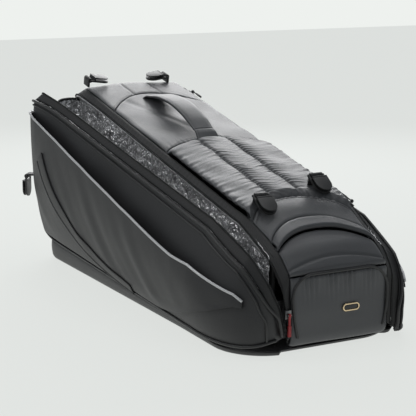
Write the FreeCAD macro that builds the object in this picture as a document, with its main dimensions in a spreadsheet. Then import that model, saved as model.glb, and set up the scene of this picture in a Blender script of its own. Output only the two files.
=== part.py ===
import FreeCAD, Part
import Sketcher
import math
import os

# A racket tournament bag: a wedge-shaped body, tall at the racket-head end (-X) and low at the
# handle end (+X), with a zipped side compartment along each long side. The left compartment
# (-Y) stands open and the right one is closed. The origin is on the ground under the middle
# of the base, +Z up. All sizes are in millimetres.

Vector = FreeCAD.Vector
X_AXIS = Vector(1, 0, 0)
Y_AXIS = Vector(0, 1, 0)
Z_AXIS = Vector(0, 0, 1)
SIDES = {"left": -1, "right": 1}

SIZES = {
    # the bag's overall shape; "back" sizes are measured from the near end
    "half_length": 385, "half_width": 140, "left_spread": 35, "far_height": 338, "far_lean": 8,
    "yoke_drop": 62, "break_back": 123, "break_height": 192.5, "brow_back": 35,
    "brow_height": 148, "lip_back": 4, "lip_height": 118, "lip_fall": 12,
    "far_corner": 40, "break_round": 120, "brow_round": 60, "near_corner": 24,
    "nose_round": 200, "base_corner": 26,
    # the middle section's panels; "reach" sizes are measured from the far end
    "top_half_width": 97, "nose_half_width": 86, "skin": 8, "pad_rise": 7, "hood_rise": 5,
    "bay_far_reach": 130, "bay_near_reach": 360, "seam_bow": 34, "bay_bow": 8, "quilt_bow": 16,
    "quilt_back": 153, "hood_back": 89, "hood_width": 42,
    # the base and the dividers
    "base_skin": 6, "end_reach": 60, "board_thickness": 3, "board_margin": 4, "skirt_skin": 5,
    "skirt_far": 42, "skirt_near": 8, "far_foot_round": 30, "near_foot_round": 90,
    "left_far_foot_round": 60, "left_near_foot_round": 85,
    "divider_thickness": 6, "divider_back": 40, "foil_thickness": 1, "foil_gap": 1.6,
    # the side walls
    "wall_skin": 6, "belly": 18, "shoulder_drop": 26, "shoulder_inset": 17, "rim_round_drop": 22,
    "far_radius": 42, "near_wrap": 101, "near_round": 120, "end_fade": 135, "open_angle": 14,
    "pocket_gap": 12, "pocket_skin": 2.5, "pocket_fade": 150,
    "pocket_far_drop": 20, "pocket_near_drop": 48, "pocket_knee_back": 150,
    "pocket_tip_back": 17, "pocket_turn": 0.85, "pocket_foot_back": 265,
    "band_width": 28, "band_thickness": 1.5, "band_start_reach": 95, "band_end_reach": 435,
    "band_start_share": 0.68, "band_curve": 150, "piping_radius": 2.4,
    # the zips
    "tape_thickness": 1.2, "chain_width": 3, "chain_height": 2.4,
    "zip_far_reach": 70, "zip_near_back": 135, "nose_zip_low": 22, "nose_zip_high": 100,
    "nose_zip_reach": 7, "nose_slider_z": 62,
    "slider_length": 13, "slider_width": 10, "slider_plate": 1.4, "slider_lip": 1.1,
    "post_length": 2, "post_width": 1.2, "post_height": 4.2, "eye_rise": 3.2, "eye_half": 3.4,
    "slider_bar_radius": 0.9, "eye_radius": 2.6, "eye_hole": 1.5, "tab_width": 3.6,
    "puller_width": 5, "puller_length": 14, "puller_thickness": 1.8, "grip_length": 17,
    "grip_thickness": 3.2,
    # the gussets of the open compartment
    "near_gusset_low": 26, "near_gusset_high": 72, "far_gusset_low": 52,
    "far_gusset_high": 270, "gusset_skin": 1.2,
    # the carry handle
    "handle_far_reach": 137, "handle_near_reach": 351, "handle_width": 42,
    "handle_thickness": 8, "handle_seat": 13, "handle_rise": 16, "anchor_length": 16,
    "anchor_post": 5, "anchor_shelf": 3, "anchor_gap": 2,
    # the strap clips
    "clip_width": 30, "clip_bar_radius": 2, "clip_arm": 3, "clip_window": 6, "clip_waist": 17,
    "clip_plate": 3, "clip_mouth": 3.6, "gate_plate": 2.4, "clip_root": 2.6, "near_clip_tilt": -24, "far_clip_tilt": -8,
    "loop_thickness": 1.6, "loop_play": 0.6, "near_loop_height": 19, "far_loop_height": 13,
    "side_loop_height": 16, "near_left_clip_back": 137, "near_right_clip_back": 175,
    "near_clip_inset": 35, "far_clip_reach": 40, "far_left_clip_inset": 6,
    "far_right_clip_inset": 25, "side_clip_angle": 128, "side_clip_share": 0.46,
    # the badge and the raised piping round it
    "badge_length": 30, "badge_height": 12, "badge_thickness": 2.4, "badge_rim": 2.2,
    "badge_y": 17, "badge_z": 60, "outline_corner": 26, "outline_rise": 34,
    # clearances
    "seam_gap": 0.4,
}

doc = FreeCAD.newDocument("TournamentBag")
sheet = doc.addObject("Spreadsheet::Sheet", "Sizes")
for row, (alias, number) in enumerate(SIZES.items(), start=1):
    sheet.set("A%d" % row, alias.replace("_", " "))
    sheet.set("B%d" % row, str(number))
    sheet.setAlias("B%d" % row, alias)
doc.recompute()


def size(alias):
    """The number in the spreadsheet's cell of that name."""
    return float(sheet.get(alias))


nodes = []


def node(label, thing):
    """Name a finished sub-part."""
    thing.Label = label
    nodes.append(thing)
    return thing


def soft(label, shape, placement=None):
    """A sewn or curved piece, whose shape is made from Part's own functions."""
    thing = doc.addObject("Part::Feature", label)
    thing.Shape = shape
    if placement is not None:
        thing.Placement = placement
    return node(label, thing)


def bind(thing, **formulas):
    """Bind properties to formulas of the spreadsheet's cells."""
    for name, formula in formulas.items():
        thing.setExpression(name.replace("__", "."), formula)
    return thing


def cells(formula):
    """Write each cell's name in a formula as a reference to the spreadsheet."""
    words = formula.replace("(", " ( ").replace(")", " ) ").split()
    return " ".join("Sizes." + word if word in SIZES else word for word in words)


def block(name, length, width, height, corner):
    """A box whose sizes and lowest corner are formulas."""
    thing = doc.addObject("Part::Box", name)
    bind(thing, Length=cells(length), Width=cells(width), Height=cells(height))
    for letter, formula in zip("xyz", corner):
        thing.setExpression("Placement.Base." + letter, cells(formula))
    return thing


def round_bar(name, radius, height, foot, turn=None):
    """A cylinder whose sizes and foot are formulas."""
    thing = doc.addObject("Part::Cylinder", name)
    bind(thing, Radius=cells(radius), Height=cells(height))
    if turn is not None:
        thing.Placement = FreeCAD.Placement(Vector(), turn)
    for letter, formula in zip("xyz", foot):
        thing.setExpression("Placement.Base." + letter, cells(formula))
    return thing


ALONG_Y = FreeCAD.Rotation(X_AXIS, -90)


def fused(name, pieces):
    """One solid joined from several."""
    thing = doc.addObject("Part::MultiFuse", name)
    thing.Shapes = pieces
    thing.Refine = True
    return thing


def cut(name, base, tool):
    """One solid less another."""
    thing = doc.addObject("Part::Cut", name)
    thing.Base = base
    thing.Tool = tool
    return thing


# ---------------------------------------------------------------- the side profile

half_length = size("half_length")
half_width = size("half_width")
break_x = half_length - size("break_back")
brow_x = half_length - size("brow_back")
lip_x = half_length - size("lip_back")


def crown(x):
    """Height of the straight top line at x."""
    fall = (size("break_height") - size("far_height")) / (break_x + half_length)
    return size("far_height") + fall * (x + half_length)


def top_height(x):
    """Height of the top at x, with the nose's two slopes."""
    knees = [(break_x, size("break_height")), (brow_x, size("brow_height")),
             (lip_x, size("lip_height")),
             (half_length, size("lip_height") - size("lip_fall"))]
    if x <= knees[0][0]:
        return crown(x)
    for (x0, z0), (x1, z1) in zip(knees, knees[1:]):
        if x <= x1:
            return z0 + (z1 - z0) * (x - x0) / (x1 - x0)
    return knees[-1][1]


def inset_polygon(corners, depth):
    """The corners of a convex clockwise polygon, each side moved inwards by a depth."""
    lines = []
    for start, end in zip(corners, corners[1:] + corners[:1]):
        along = (end - start).normalize()
        inward = Vector(along.z, 0, -along.x)
        lines.append((start + inward * depth, along))
    moved = []
    for (p, a), (q, b) in zip(lines[-1:] + lines[:-1], lines):
        cross = a.x * b.z - a.z * b.x
        step = ((q.x - p.x) * b.z - (q.z - p.z) * b.x) / cross
        moved.append(p + a * step)
    return moved


def rounded_wire(corners, radii):
    """A closed wire through corners, each rounded by a tangent arc."""
    edges = []
    ends = []
    count = len(corners)
    for i, (corner, radius) in enumerate(zip(corners, radii)):
        before = (corners[i - 1] - corner).normalize()
        after = (corners[(i + 1) % count] - corner).normalize()
        half = before.getAngle(after) / 2
        reach = radius / math.tan(half)
        middle = (before + after).normalize()
        first = corner + before * reach
        last = corner + after * reach
        top = corner + middle * (radius / math.sin(half) - radius)
        ends.append((first, last))
        edges.append(Part.Arc(first, top, last).toShape())
    for (_, last), (first, _) in zip(ends, ends[1:] + ends[:1]):
        edges.append(Part.LineSegment(last, first).toShape())
    return Part.Wire(Part.__sortEdges__(edges))


far_top = -half_length + size("far_lean")
PROFILE = [
    Vector(-half_length, 0, 0), Vector(far_top, 0, crown(far_top)),
    Vector(break_x, 0, size("break_height")), Vector(brow_x, 0, size("brow_height")),
    Vector(lip_x, 0, size("lip_height")), Vector(half_length, 0, size("badge_z")),
    Vector(half_length, 0, 0),
]
ROUNDS = [size(name) for name in ("base_corner", "far_corner", "break_round", "brow_round",
                                  "near_corner", "nose_round", "base_corner")]


def core(depth, low_y, high_y):
    """The middle section's solid, its side profile moved inwards, from one y to another."""
    corners = inset_polygon(PROFILE, depth)
    radii = [max(radius - depth, 2) for radius in ROUNDS]
    face = Part.Face(rounded_wire(corners, radii))
    face.translate(Vector(0, low_y, 0))
    return face.extrude(Vector(0, high_y - low_y, 0))


def rind(outer, inner, half):
    """The layer of the middle section between two depths, either side of the mid plane."""
    return core(outer, -half, half).cut(core(inner, -half - 1, half + 1))


def slab(low, high):
    """A box between two corners."""
    return Part.makeBox(high[0] - low[0], high[1] - low[1], high[2] - low[2], Vector(*low))


BIG = 2 * half_length
BOW_ENDS = 0.55


def bowed(x, bow):
    """The prism of everything on the near side of a crosswise seam that bows to the far end."""
    half = half_width
    under = -half_width
    start = Vector(x + bow * BOW_ENDS, -half, under)
    middle = Vector(x + bow * (BOW_ENDS - 1), 0, under)
    end = Vector(x + bow * BOW_ENDS, half, under)
    rim = [Part.Arc(start, middle, end).toShape(),
           Part.makePolygon([end, Vector(BIG, half, under), Vector(BIG, -half, under), start])]
    return Part.Face(Part.Wire(rim)).extrude(Vector(0, 0, 2 * BIG))


# ---------------------------------------------------------------- the middle section

skin = size("skin")
gap = size("seam_gap")
top_half = size("top_half_width")
nose_half = size("nose_half_width")
base_top = size("base_skin")
floor_cut = slab((-BIG, -BIG, -BIG), (BIG, BIG, base_top + gap))
under_top = slab((-BIG, -BIG, -BIG), (BIG, BIG, size("badge_z")))


def top_panel(label, far_seam, near_seam, rise=0.0, half=None):
    """One panel of the top, between two crosswise seams."""
    half = half or top_half
    shape = rind(-rise, skin, half)
    if far_seam is not None:
        shape = shape.common(bowed(far_seam[0] + gap, far_seam[1]))
    if near_seam is not None:
        shape = shape.cut(bowed(near_seam[0], near_seam[1]))
    return soft(label, shape.cut(under_top))


bow = size("seam_bow")
hood_x = half_length - size("hood_back")
far_seam = (-half_length + size("bay_far_reach"), bow)
bay_seam = (-half_length + size("bay_near_reach"), size("bay_bow"))
quilt_seam = (half_length - size("quilt_back"), size("quilt_bow"))
hood_seam = (hood_x, bow)
brow_seam = (hood_x + size("hood_width"), bow)
above_floor = rind(0, skin, top_half).cut(floor_cut)
yoke_z = size("far_height") - size("yoke_drop")

yoke = above_floor.cut(bowed(*far_seam)).cut(
    slab((-BIG, -BIG, -BIG), (BIG, BIG, yoke_z)))
soft("far_yoke", yoke)
top_panel("handle_bay_panel", far_seam, bay_seam)
top_panel("quilted_pad", bay_seam, quilt_seam, rise=size("pad_rise"))
top_panel("near_yoke", quilt_seam, hood_seam)
top_panel("nose_hood", hood_seam, brow_seam, rise=size("hood_rise"), half=nose_half)
nose = rind(0, skin, nose_half).cut(floor_cut)
lip_z = size("lip_height") - 4
brow = nose.common(bowed(brow_seam[0] + gap, brow_seam[1]))
brow = brow.cut(slab((-BIG, -BIG, -BIG), (BIG, BIG, lip_z + gap)))
soft("nose_panel", brow)
end_slab = slab((half_length - size("end_reach"), -BIG, base_top + gap), (BIG, BIG, lip_z))
soft("nose_end_panel", nose.common(end_slab))
far_slab = slab((-BIG, -BIG, base_top + gap),
                (-half_length + size("end_reach"), BIG, yoke_z - gap))
soft("far_end_panel", above_floor.common(far_slab))

# the raised piping that outlines the end panel
piping = size("piping_radius")


def stadium(half, low, high, radius, x):
    """An upright rounded rectangle in the plane at x."""
    points = [Vector(x, -half, low), Vector(x, -half, high), Vector(x, half, high),
              Vector(x, half, low)]
    turned = [Vector(p.y, 0, p.z) for p in points]
    wire = rounded_wire(turned, [radius] * 4)
    wire.rotate(Vector(), Z_AXIS, 90)
    wire.translate(Vector(x, 0, 0))
    return wire


pipe_x = half_length + gap
pipe_half = nose_half - skin / 2
pipe_low = size("base_corner") + skin / 2
pipe_high = size("badge_z") + size("outline_rise")
pipe_corner = size("outline_corner")
outside = Part.Face(stadium(pipe_half, pipe_low, pipe_high, pipe_corner, pipe_x))
inside = Part.Face(stadium(pipe_half - 2 * piping, pipe_low + 2 * piping,
                           pipe_high - 2 * piping, pipe_corner - 2 * piping, pipe_x))
ring = outside.extrude(X_AXIS * 2 * piping).cut(inside.extrude(X_AXIS * 2 * piping))
near_face = core(0, -nose_half, nose_half)
soft("end_panel_piping", ring.cut(near_face))

# ---------------------------------------------------------------- the base


def side_half(side):
    """Half width at the ground, greater on the side of the open compartment."""
    return half_width + (size("left_spread") if side < 0 else 0)


def plan_wire(inward, z):
    """The bag's outline on the ground, moved inwards."""
    end = half_length - inward
    left, right = side_half(-1) - inward, side_half(1) - inward
    corners = [Vector(-end, 0, -right), Vector(-end, 0, left), Vector(end, 0, left),
               Vector(end, 0, -right)]
    radii = [size(name) - inward for name in ("far_foot_round", "left_far_foot_round",
                                              "left_near_foot_round", "near_foot_round")]
    wire = rounded_wire(corners, radii)
    wire.rotate(Vector(), X_AXIS, 90)
    wire.translate(Vector(0, 0, z))
    return wire


def seam_height(x):
    """Height at x of the long seam where a side wall joins the base."""
    share = (x + half_length) / (2 * half_length)
    return size("skirt_far") + (size("skirt_near") - size("skirt_far")) * share


tall = size("skirt_far") + 20
tray = Part.Face(plan_wire(0, 0)).extrude(Z_AXIS * tall)
hollow = Part.Face(plan_wire(size("skirt_skin"), base_top)).extrude(Z_AXIS * tall)
slope_points = [Vector(-BIG, -BIG, seam_height(-BIG)), Vector(BIG, -BIG, seam_height(BIG)),
                Vector(BIG, -BIG, BIG), Vector(-BIG, -BIG, BIG), Vector(-BIG, -BIG, seam_height(-BIG))]
above_seam = Part.Face(Part.makePolygon(slope_points)).extrude(Y_AXIS * 2 * BIG)
above_seam.translate(Z_AXIS * -gap)
middle = slab((-BIG, -top_half - gap, base_top), (BIG, top_half + gap, BIG))
soft("base_tray", tray.cut(hollow).cut(above_seam).cut(middle))

# the stiffener board that lies between the dividers
board = doc.addObject("PartDesign::Body", "base_board")
outline = board.newObject("Sketcher::SketchObject", "board_outline")
ground = [plane for plane in board.Origin.OriginFeatures if plane.Role == "XY_Plane"][0]
outline.AttachmentSupport = [(ground, "")]
outline.MapMode = "FlatFace"
rim = [Vector(-300, -80, 0), Vector(300, -80, 0), Vector(300, 80, 0), Vector(-300, 80, 0)]
for start, end in zip(rim, rim[1:] + rim[:1]):
    outline.addGeometry(Part.LineSegment(start, end))
for line in range(4):
    outline.addConstraint(Sketcher.Constraint("Coincident", line, 2, (line + 1) % 4, 1))
    outline.addConstraint(Sketcher.Constraint("Vertical" if line % 2 else "Horizontal", line))
ORIGIN_POINT = (-1, 1)
for name, kind, low, high in [("far_reach", "DistanceX", (0, 1), ORIGIN_POINT),
                              ("near_reach", "DistanceX", ORIGIN_POINT, (1, 1)),
                              ("left_reach", "DistanceY", (0, 1), ORIGIN_POINT),
                              ("right_reach", "DistanceY", ORIGIN_POINT, (2, 1))]:
    reach = "half_length - end_reach - board_margin"
    if kind == "DistanceY":
        reach = "top_half_width - divider_thickness - board_margin"
    index = outline.addConstraint(Sketcher.Constraint(kind, *low, *high, 80))
    outline.renameConstraint(index, name)
    outline.setExpression("Constraints." + name, cells(reach))
pad = board.newObject("PartDesign::Pad", "board_pad")
pad.Profile = outline
bind(pad, Length=cells("board_thickness"))
board.setExpression("Placement.Base.z", cells("base_skin"))
node("base_board", board)

# ---------------------------------------------------------------- the dividers

divider_bottom = slab((-BIG, -BIG, -BIG), (BIG, BIG, base_top))
divider = size("divider_thickness")
foil = size("foil_thickness")


def upright(depth, near_y, far_y, side):
    """An upright lengthwise sheet that fills the side profile at a depth."""
    low, high = sorted((side * near_y, side * far_y))
    return core(depth, low, high).cut(divider_bottom)


beyond_divider = slab((half_length - size("divider_back"), -BIG, 0), (BIG, BIG, BIG))
for name, side in SIDES.items():
    soft(name + "_divider", upright(skin + gap, top_half - divider, top_half - gap, side).cut(
        beyond_divider))
    soft(name + "_divider_foil", upright(skin * 1.5, top_half, top_half + foil, side).cut(
        beyond_divider))

# ---------------------------------------------------------------- the side walls

FAR_ANGLES = (180, 150, 120)
NEAR_ANGLES = (60, 30, 0)
STRAIGHT_STEPS = 6


def far_station(angle):
    """A point and its outward direction on the round far end of a wall."""
    radius = size("far_radius")
    out = Vector(math.cos(math.radians(angle)), math.sin(math.radians(angle)), 0)
    return Vector(-half_length + radius, half_width - radius, 0) + out * radius, out


def near_station(angle):
    """The same on the wall's near end, which is part of an ellipse."""
    long, short = size("near_round"), half_width - size("near_wrap")
    cos, sin = math.cos(math.radians(angle)), math.sin(math.radians(angle))
    point = Vector(half_length - long + long * cos, half_width - short + short * sin, 0)
    return point, Vector(cos / long, sin / short, 0).normalize()


def station_at(x):
    """A point of the wall's outline at x, on its straight part or its near end."""
    run = x - half_length + size("near_round")
    if run <= 0:
        return Vector(x, half_width, 0), Vector(Y_AXIS)
    return near_station(math.degrees(math.acos(run / size("near_round"))))


def stations():
    """Points round a wall's closed outline with their outward directions, far end to near."""
    found = [far_station(angle) for angle in FAR_ANGLES]
    start = -half_length + size("far_radius")
    stop = half_length - size("near_round")
    for step in range(STRAIGHT_STEPS + 1):
        found.append(station_at(start + (stop - start) * step / STRAIGHT_STEPS))
    return found + [near_station(angle) for angle in NEAR_ANGLES]


def end_share(x):
    """0 along the middle of the bag, rising to 1 at its two ends."""
    return max(0.0, (abs(x) - half_length) / size("end_fade") + 1) ** 2


def rim_height(x):
    """Height of a wall's top edge."""
    round_off = max(0.0, (-x - half_length + size("far_corner")) / size("far_corner")) ** 2
    return top_height(x) - size("shoulder_drop") - size("rim_round_drop") * round_off


def wall_point(station, share, out, side=1):
    """A point of a closed wall's skin: a share of its height up, and an offset outwards."""
    point, outward = station
    fade = end_share(point.x)
    swell = size("belly") * (1 - 0.75 * fade) * math.sin(math.pi * share ** 0.75)
    lean = size("shoulder_inset") * (1 - fade) * share ** 2.5
    spread = (side_half(side) - half_width) * (1 - share) * outward.y
    low = seam_height(point.x) + gap
    z = low + (rim_height(point.x) - low) * share
    spot = point + outward * (swell - lean + out)
    return Vector(spot.x, side * (spot.y + spread), z)


SHARES = (0, 0.25, 0.5, 0.75, 1)


def curve(points):
    """A smooth edge through points."""
    spline = Part.BSplineCurve()
    spline.interpolate(points)
    return spline.toShape()


def wall_layer(side, inner, outer, low, high, path=None):
    """A closed layer of a wall. Its offsets and its two height shares may vary along it."""
    wires = []
    for station in path or stations():
        x = station[0].x
        bottom, top = low(x), high(x)
        shares = [bottom + (top - bottom) * share for share in SHARES]
        outside = [wall_point(station, s, outer(x, s), side) for s in shares]
        inside = [wall_point(station, s, inner(x, s), side) for s in shares]
        wires.append(Part.Wire([curve(outside), Part.makeLine(outside[-1], inside[-1]),
                                curve(inside[::-1]), Part.makeLine(inside[0], outside[0])]))
    return Part.makeLoft(wires, True, True)


def tube(points, radius):
    """A bead of round section through points."""
    rings = []
    for i, point in enumerate(points):
        ahead = points[min(i + 1, len(points) - 1)] - points[max(i - 1, 0)]
        rings.append(Part.Wire(Part.Circle(point, ahead, radius).toShape()))
    return Part.makeLoft(rings, True, True)


def height_share(x, z):
    """The share of a wall's height at a height z."""
    low = seam_height(x) + gap
    return (z - low) / (rim_height(x) - low)


pocket_tip = half_length - size("pocket_tip_back")


def mouth_share(x):
    """The height share of the side pocket's mouth."""
    knee, tip = half_length - size("pocket_knee_back"), pocket_tip
    far_drop, near_drop = size("pocket_far_drop"), size("pocket_near_drop")
    if x < knee:
        drop = far_drop + (near_drop - far_drop) * (x + half_length) / (knee + half_length)
    else:
        drop = near_drop - (near_drop - far_drop) * (x - knee) / (tip - knee) * size("pocket_turn")
    return height_share(x, rim_height(x) - drop)


def foot_share(x):
    """The height share of the side pocket's lower edge, which rises to the near tip."""
    start = half_length - size("pocket_foot_back")
    lift = max(0.0, (x - start) / (pocket_tip - start)) ** 2
    return 0.06 + (mouth_share(x) - 0.12) * lift


def pocket_inside(x, share):
    """How far the side pocket's panel stands off the wall."""
    rise = (share - foot_share(x)) / (mouth_share(x) - foot_share(x))
    ends = min(1.0, (pocket_tip - x) / size("pocket_fade")) * (1 - 0.6 * end_share(x))
    return 2 + size("pocket_gap") * max(rise, 0) ** 1.4 * max(ends, 0)


def pocket_outside(x, share):
    return pocket_inside(x, share) + size("pocket_skin")


def level(number):
    """A size that doesn't vary along a wall."""
    return lambda x, share=0: number


BAND_LIFT = 0.9


def strip(side):
    """The flat band that curves down across the side pocket."""
    start = -half_length + size("band_start_reach")
    end = -half_length + size("band_end_reach")
    wires = []
    for step in range(9):
        x = start + (end - start) * step / 8
        share = size("band_start_share") * math.exp((start - x) / size("band_curve"))
        low = seam_height(x)
        z = low + (rim_height(x) - low) * share
        fall = -(rim_height(x) - low) * share / size("band_curve")
        across = Vector(-fall, 0, 1).normalize() * size("band_width") / 2 * (1 - 0.05 * step)
        ring = []
        under, over = BAND_LIFT, BAND_LIFT + size("band_thickness")
        for sign, lift in ((-1, under), (1, under), (1, over), (-1, over)):
            spot_x, spot_z = x + sign * across.x, max(z + sign * across.z, low + 4)
            s = height_share(spot_x, spot_z)
            out = pocket_outside(spot_x, s) + lift
            ring.append(wall_point(station_at(spot_x), s, out, side))
        wires.append(Part.makePolygon(ring + ring[:1]))
    return Part.makeLoft(wires, True, True)


# the zips' line down each shoulder, from the top panels' edge to the wall's edge
shoulder_top = Vector(0, top_half, -4)
shoulder_foot = Vector(0, half_width - size("shoulder_inset"), -size("shoulder_drop"))
shoulder = shoulder_foot - shoulder_top
shoulder_width = shoulder.Length
DOWN = shoulder.normalize()
PROUD = Vector(0, -DOWN.z, DOWN.y)
zip_middle = shoulder_width / 2
tape = size("tape_thickness")
chain = size("chain_width")
zip_far_x = -half_length + size("zip_far_reach")
zip_near_x = half_length - size("zip_near_back")


def shoulder_prism(side, low, high, bottom, top, far_x, near_x):
    """A bar along the shoulder: its place down the slope, its height off it, and its ends."""
    corners = [shoulder_top + DOWN * u + PROUD * v
               for u, v in ((low, bottom), (high, bottom), (high, top), (low, top))]
    corners = [Vector(far_x, side * p.y, p.z + crown(far_x)) for p in corners]
    face = Part.Face(Part.makePolygon(corners + corners[:1]))
    return face.extrude(Vector(near_x - far_x, 0, crown(near_x) - crown(far_x)))


def zip_half(side, low, high, chain_low, shorter):
    """A zip's tape with its row of teeth."""
    far_x, near_x = zip_far_x + shorter, zip_near_x - shorter
    cloth = shoulder_prism(side, low, high, -tape, 0, far_x, near_x)
    teeth = shoulder_prism(side, chain_low, chain_low + chain, 0, size("chain_height"),
                           far_x, near_x)
    return cloth.fuse(teeth).removeSplitter()


def seam_point(x, side):
    """A point of the seam where a side wall joins the base."""
    return Vector(x, side * side_half(side), seam_height(x))


def opened(side, angle):
    """Where a closed wall goes when it is turned outwards about its base seam."""
    along = seam_point(half_length, side) - seam_point(-half_length, side)
    turn = FreeCAD.Rotation(along * -side, angle)
    return FreeCAD.Placement(Vector(), turn, seam_point(0, side))


REST = {"left": opened(-1, size("open_angle")), "right": FreeCAD.Placement()}
wall_skin = size("wall_skin")
foil_gap = size("foil_gap")
garage = size("slider_length") + size("slider_width")
for name, side in SIDES.items():
    place = REST[name]
    soft(name + "_wall", wall_layer(side, level(-wall_skin), level(0), level(0), level(1)),
         place)
    soft(name + "_wall_foil", wall_layer(side, level(-wall_skin - foil_gap - foil),
                                         level(-wall_skin - foil_gap), level(0.04), level(0.96)),
         place)
    last = pocket_tip - size("pocket_gap")
    pocket_path = [s for s in stations()[1:-2] if s[0].x < last - 2 * size("pocket_gap")]
    pocket_path.append(station_at(last))
    soft(name + "_pocket", wall_layer(side, pocket_inside, pocket_outside, foot_share,
                                      mouth_share, pocket_path), place)
    mouth_line = [wall_point(s, mouth_share(s[0].x), pocket_outside(s[0].x,
                  mouth_share(s[0].x)) + piping + gap, side) for s in pocket_path]
    soft(name + "_pocket_piping", tube(mouth_line, piping * 0.6), place)
    rim_line = [wall_point(s, 0.985, piping + 3 * gap, side) for s in stations()]
    soft(name + "_wall_piping", tube(rim_line, piping), place)
    soft(name + "_pocket_band", strip(side), place)
    soft(name + "_wall_zip", zip_half(side, zip_middle + 0.3, shoulder_width - 4,
                                      zip_middle + 0.3, garage), place)
    soft(name + "_body_zip", zip_half(side, 1.6, zip_middle - 0.3,
                                      zip_middle - 0.3 - chain, 0))

# the left zip's last run, down the corner of the nose
nose_zip_y = -(nose_half + gap)
nose_zip_edge = nose_zip_y - size("nose_zip_reach")
nose_zip_x = half_length - chain
zip_low, zip_high = size("nose_zip_low"), size("nose_zip_high")
nose_tape = slab((nose_zip_x - tape, nose_zip_edge, zip_low), (nose_zip_x, nose_zip_y, zip_high))
nose_teeth = slab((nose_zip_x, nose_zip_edge, zip_low),
                  (nose_zip_x + size("chain_height"), nose_zip_edge + chain, zip_high))
soft("left_nose_zip", nose_tape.fuse(nose_teeth).removeSplitter())


def gusset(body_x, body_y, station, end):
    """The folded cloth between the middle section's end and the open wall's end edge."""
    wall_place = REST["left"]
    wires = []
    for level_name in ("low", "high"):
        z = size(end + "_gusset_" + level_name)
        inner = Vector(body_x, -body_y, z)
        edge = wall_place.multVec(wall_point(station, height_share(station[0].x, z),
                                             -wall_skin - 2, -1))
        thick = Vector(size("gusset_skin"), 0, 0)
        ring = [inner, edge, edge + thick, inner + thick]
        wires.append(Part.makePolygon(ring + ring[:1]))
    return Part.makeLoft(wires, True, True)


soft("left_near_gusset", gusset(half_length - skin * 1.5, nose_half + gap + foil,
                                stations()[-1], "near"))
soft("left_far_gusset", gusset(-half_length + skin * 2.5, top_half + foil * 3,
                               stations()[0], "far"))

# ---------------------------------------------------------------- the sliders and pullers


def slider_frame(origin, along, outward):
    """A placement whose X runs along the zip and whose Z stands off it."""
    across = outward.cross(along)
    return FreeCAD.Placement(origin, FreeCAD.Rotation(along, across, outward, "XZY"))


slope = Vector(1, 0, crown(1) - crown(0)).normalize()


def on_zip(side, x):
    """The zip's centre line at x, on the tape's face."""
    spot = shoulder_top + DOWN * zip_middle
    return Vector(x, side * spot.y, spot.z + crown(x))


DECK_TOP = "chain_height + seam_gap + slider_plate"
EYE_Z = DECK_TOP + " + eye_rise"


def slider(name, frame):
    """A channel that rides over both rows of teeth, with a bridge for its puller."""
    deck = block(name + "_deck", "slider_length", "slider_width", "slider_plate",
                 ("-(slider_length / 2)", "-(slider_width / 2)", "chain_height + seam_gap"))
    lips = []
    for hand, corner in (("low", "-(slider_width / 2)"), ("high", "slider_width / 2 - slider_lip")):
        lips.append(block(name + "_lip_" + hand, "slider_length", "slider_lip",
                          "chain_height", ("-(slider_length / 2)", corner, "seam_gap")))
    posts = []
    for hand, corner in (("low", "-(eye_half)"), ("high", "eye_half - post_width")):
        posts.append(block(name + "_post_" + hand, "post_length", "post_width", "post_height",
                           ("-(post_length / 2)", corner, DECK_TOP)))
    bar = round_bar(name + "_bar", "slider_bar_radius", "eye_half * 2",
                    ("0", "-(eye_half)", EYE_Z), ALONG_Y)
    whole = fused(name, [deck] + lips + posts + [bar])
    whole.Placement = frame
    return node(name, whole)


def puller(name, frame):
    """A ring on the slider's bridge, with a flat tab and a cord grip."""
    side_low = "-(tab_width / 2)"
    disc = round_bar(name + "_eye", "eye_radius", "tab_width", ("0", side_low, EYE_Z), ALONG_Y)
    tab = block(name + "_tab", "puller_length", "tab_width", "puller_thickness",
                ("eye_radius - 1", side_low, EYE_Z + " - puller_thickness / 2"))
    grip = block(name + "_grip", "grip_length", "puller_width", "grip_thickness",
                 ("puller_length + eye_radius - 1", "-(puller_width / 2)",
                  EYE_Z + " - grip_thickness / 2"))
    body = fused(name + "_body", [disc, tab, grip])
    hole = round_bar(name + "_hole", "eye_hole", "tab_width * 2", ("0", "-(tab_width)", EYE_Z),
                     ALONG_Y)
    whole = cut(name, body, hole)
    whole.Placement = frame
    return node(name, whole)


park = size("slider_length") * 0.65
near_park = zip_near_x - park
far_park = zip_far_x + park
FRAMES = {
    "left_near": slider_frame(Vector(nose_zip_x, nose_zip_edge, size("nose_slider_z")),
                              Z_AXIS * -1, X_AXIS),
    "right_near": slider_frame(on_zip(1, near_park), slope * -1, Vector(PROUD)),
    "right_far": slider_frame(on_zip(1, far_park), slope, Vector(PROUD)),
}
for name, frame in FRAMES.items():
    slider(name + "_slider", frame)
    puller(name + "_puller", frame)

# ---------------------------------------------------------------- the carry handle

handle_far_x = -half_length + size("handle_far_reach")
handle_near_x = -half_length + size("handle_near_reach")
handle_far = Vector(handle_far_x, 0, crown(handle_far_x))
handle_near = Vector(handle_near_x, 0, crown(handle_near_x))
handle_run = handle_near - handle_far
handle_length = handle_run.Length
deck = slider_frame(handle_far, handle_run.normalize(), Y_AXIS.cross(handle_run) * -1)
seat = size("handle_seat")
pad_half = size("handle_thickness") / 2
anchor = size("anchor_length")
clear = anchor + size("anchor_gap")
post = size("anchor_post")


def arch(lift):
    """The handle's bowed centre line, moved off by a lift."""
    return Part.Arc(Vector(clear, 0, seat + lift),
                    Vector(handle_length / 2, 0, seat + size("handle_rise") + lift),
                    Vector(handle_length - clear, 0, seat + lift)).toShape()


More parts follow.
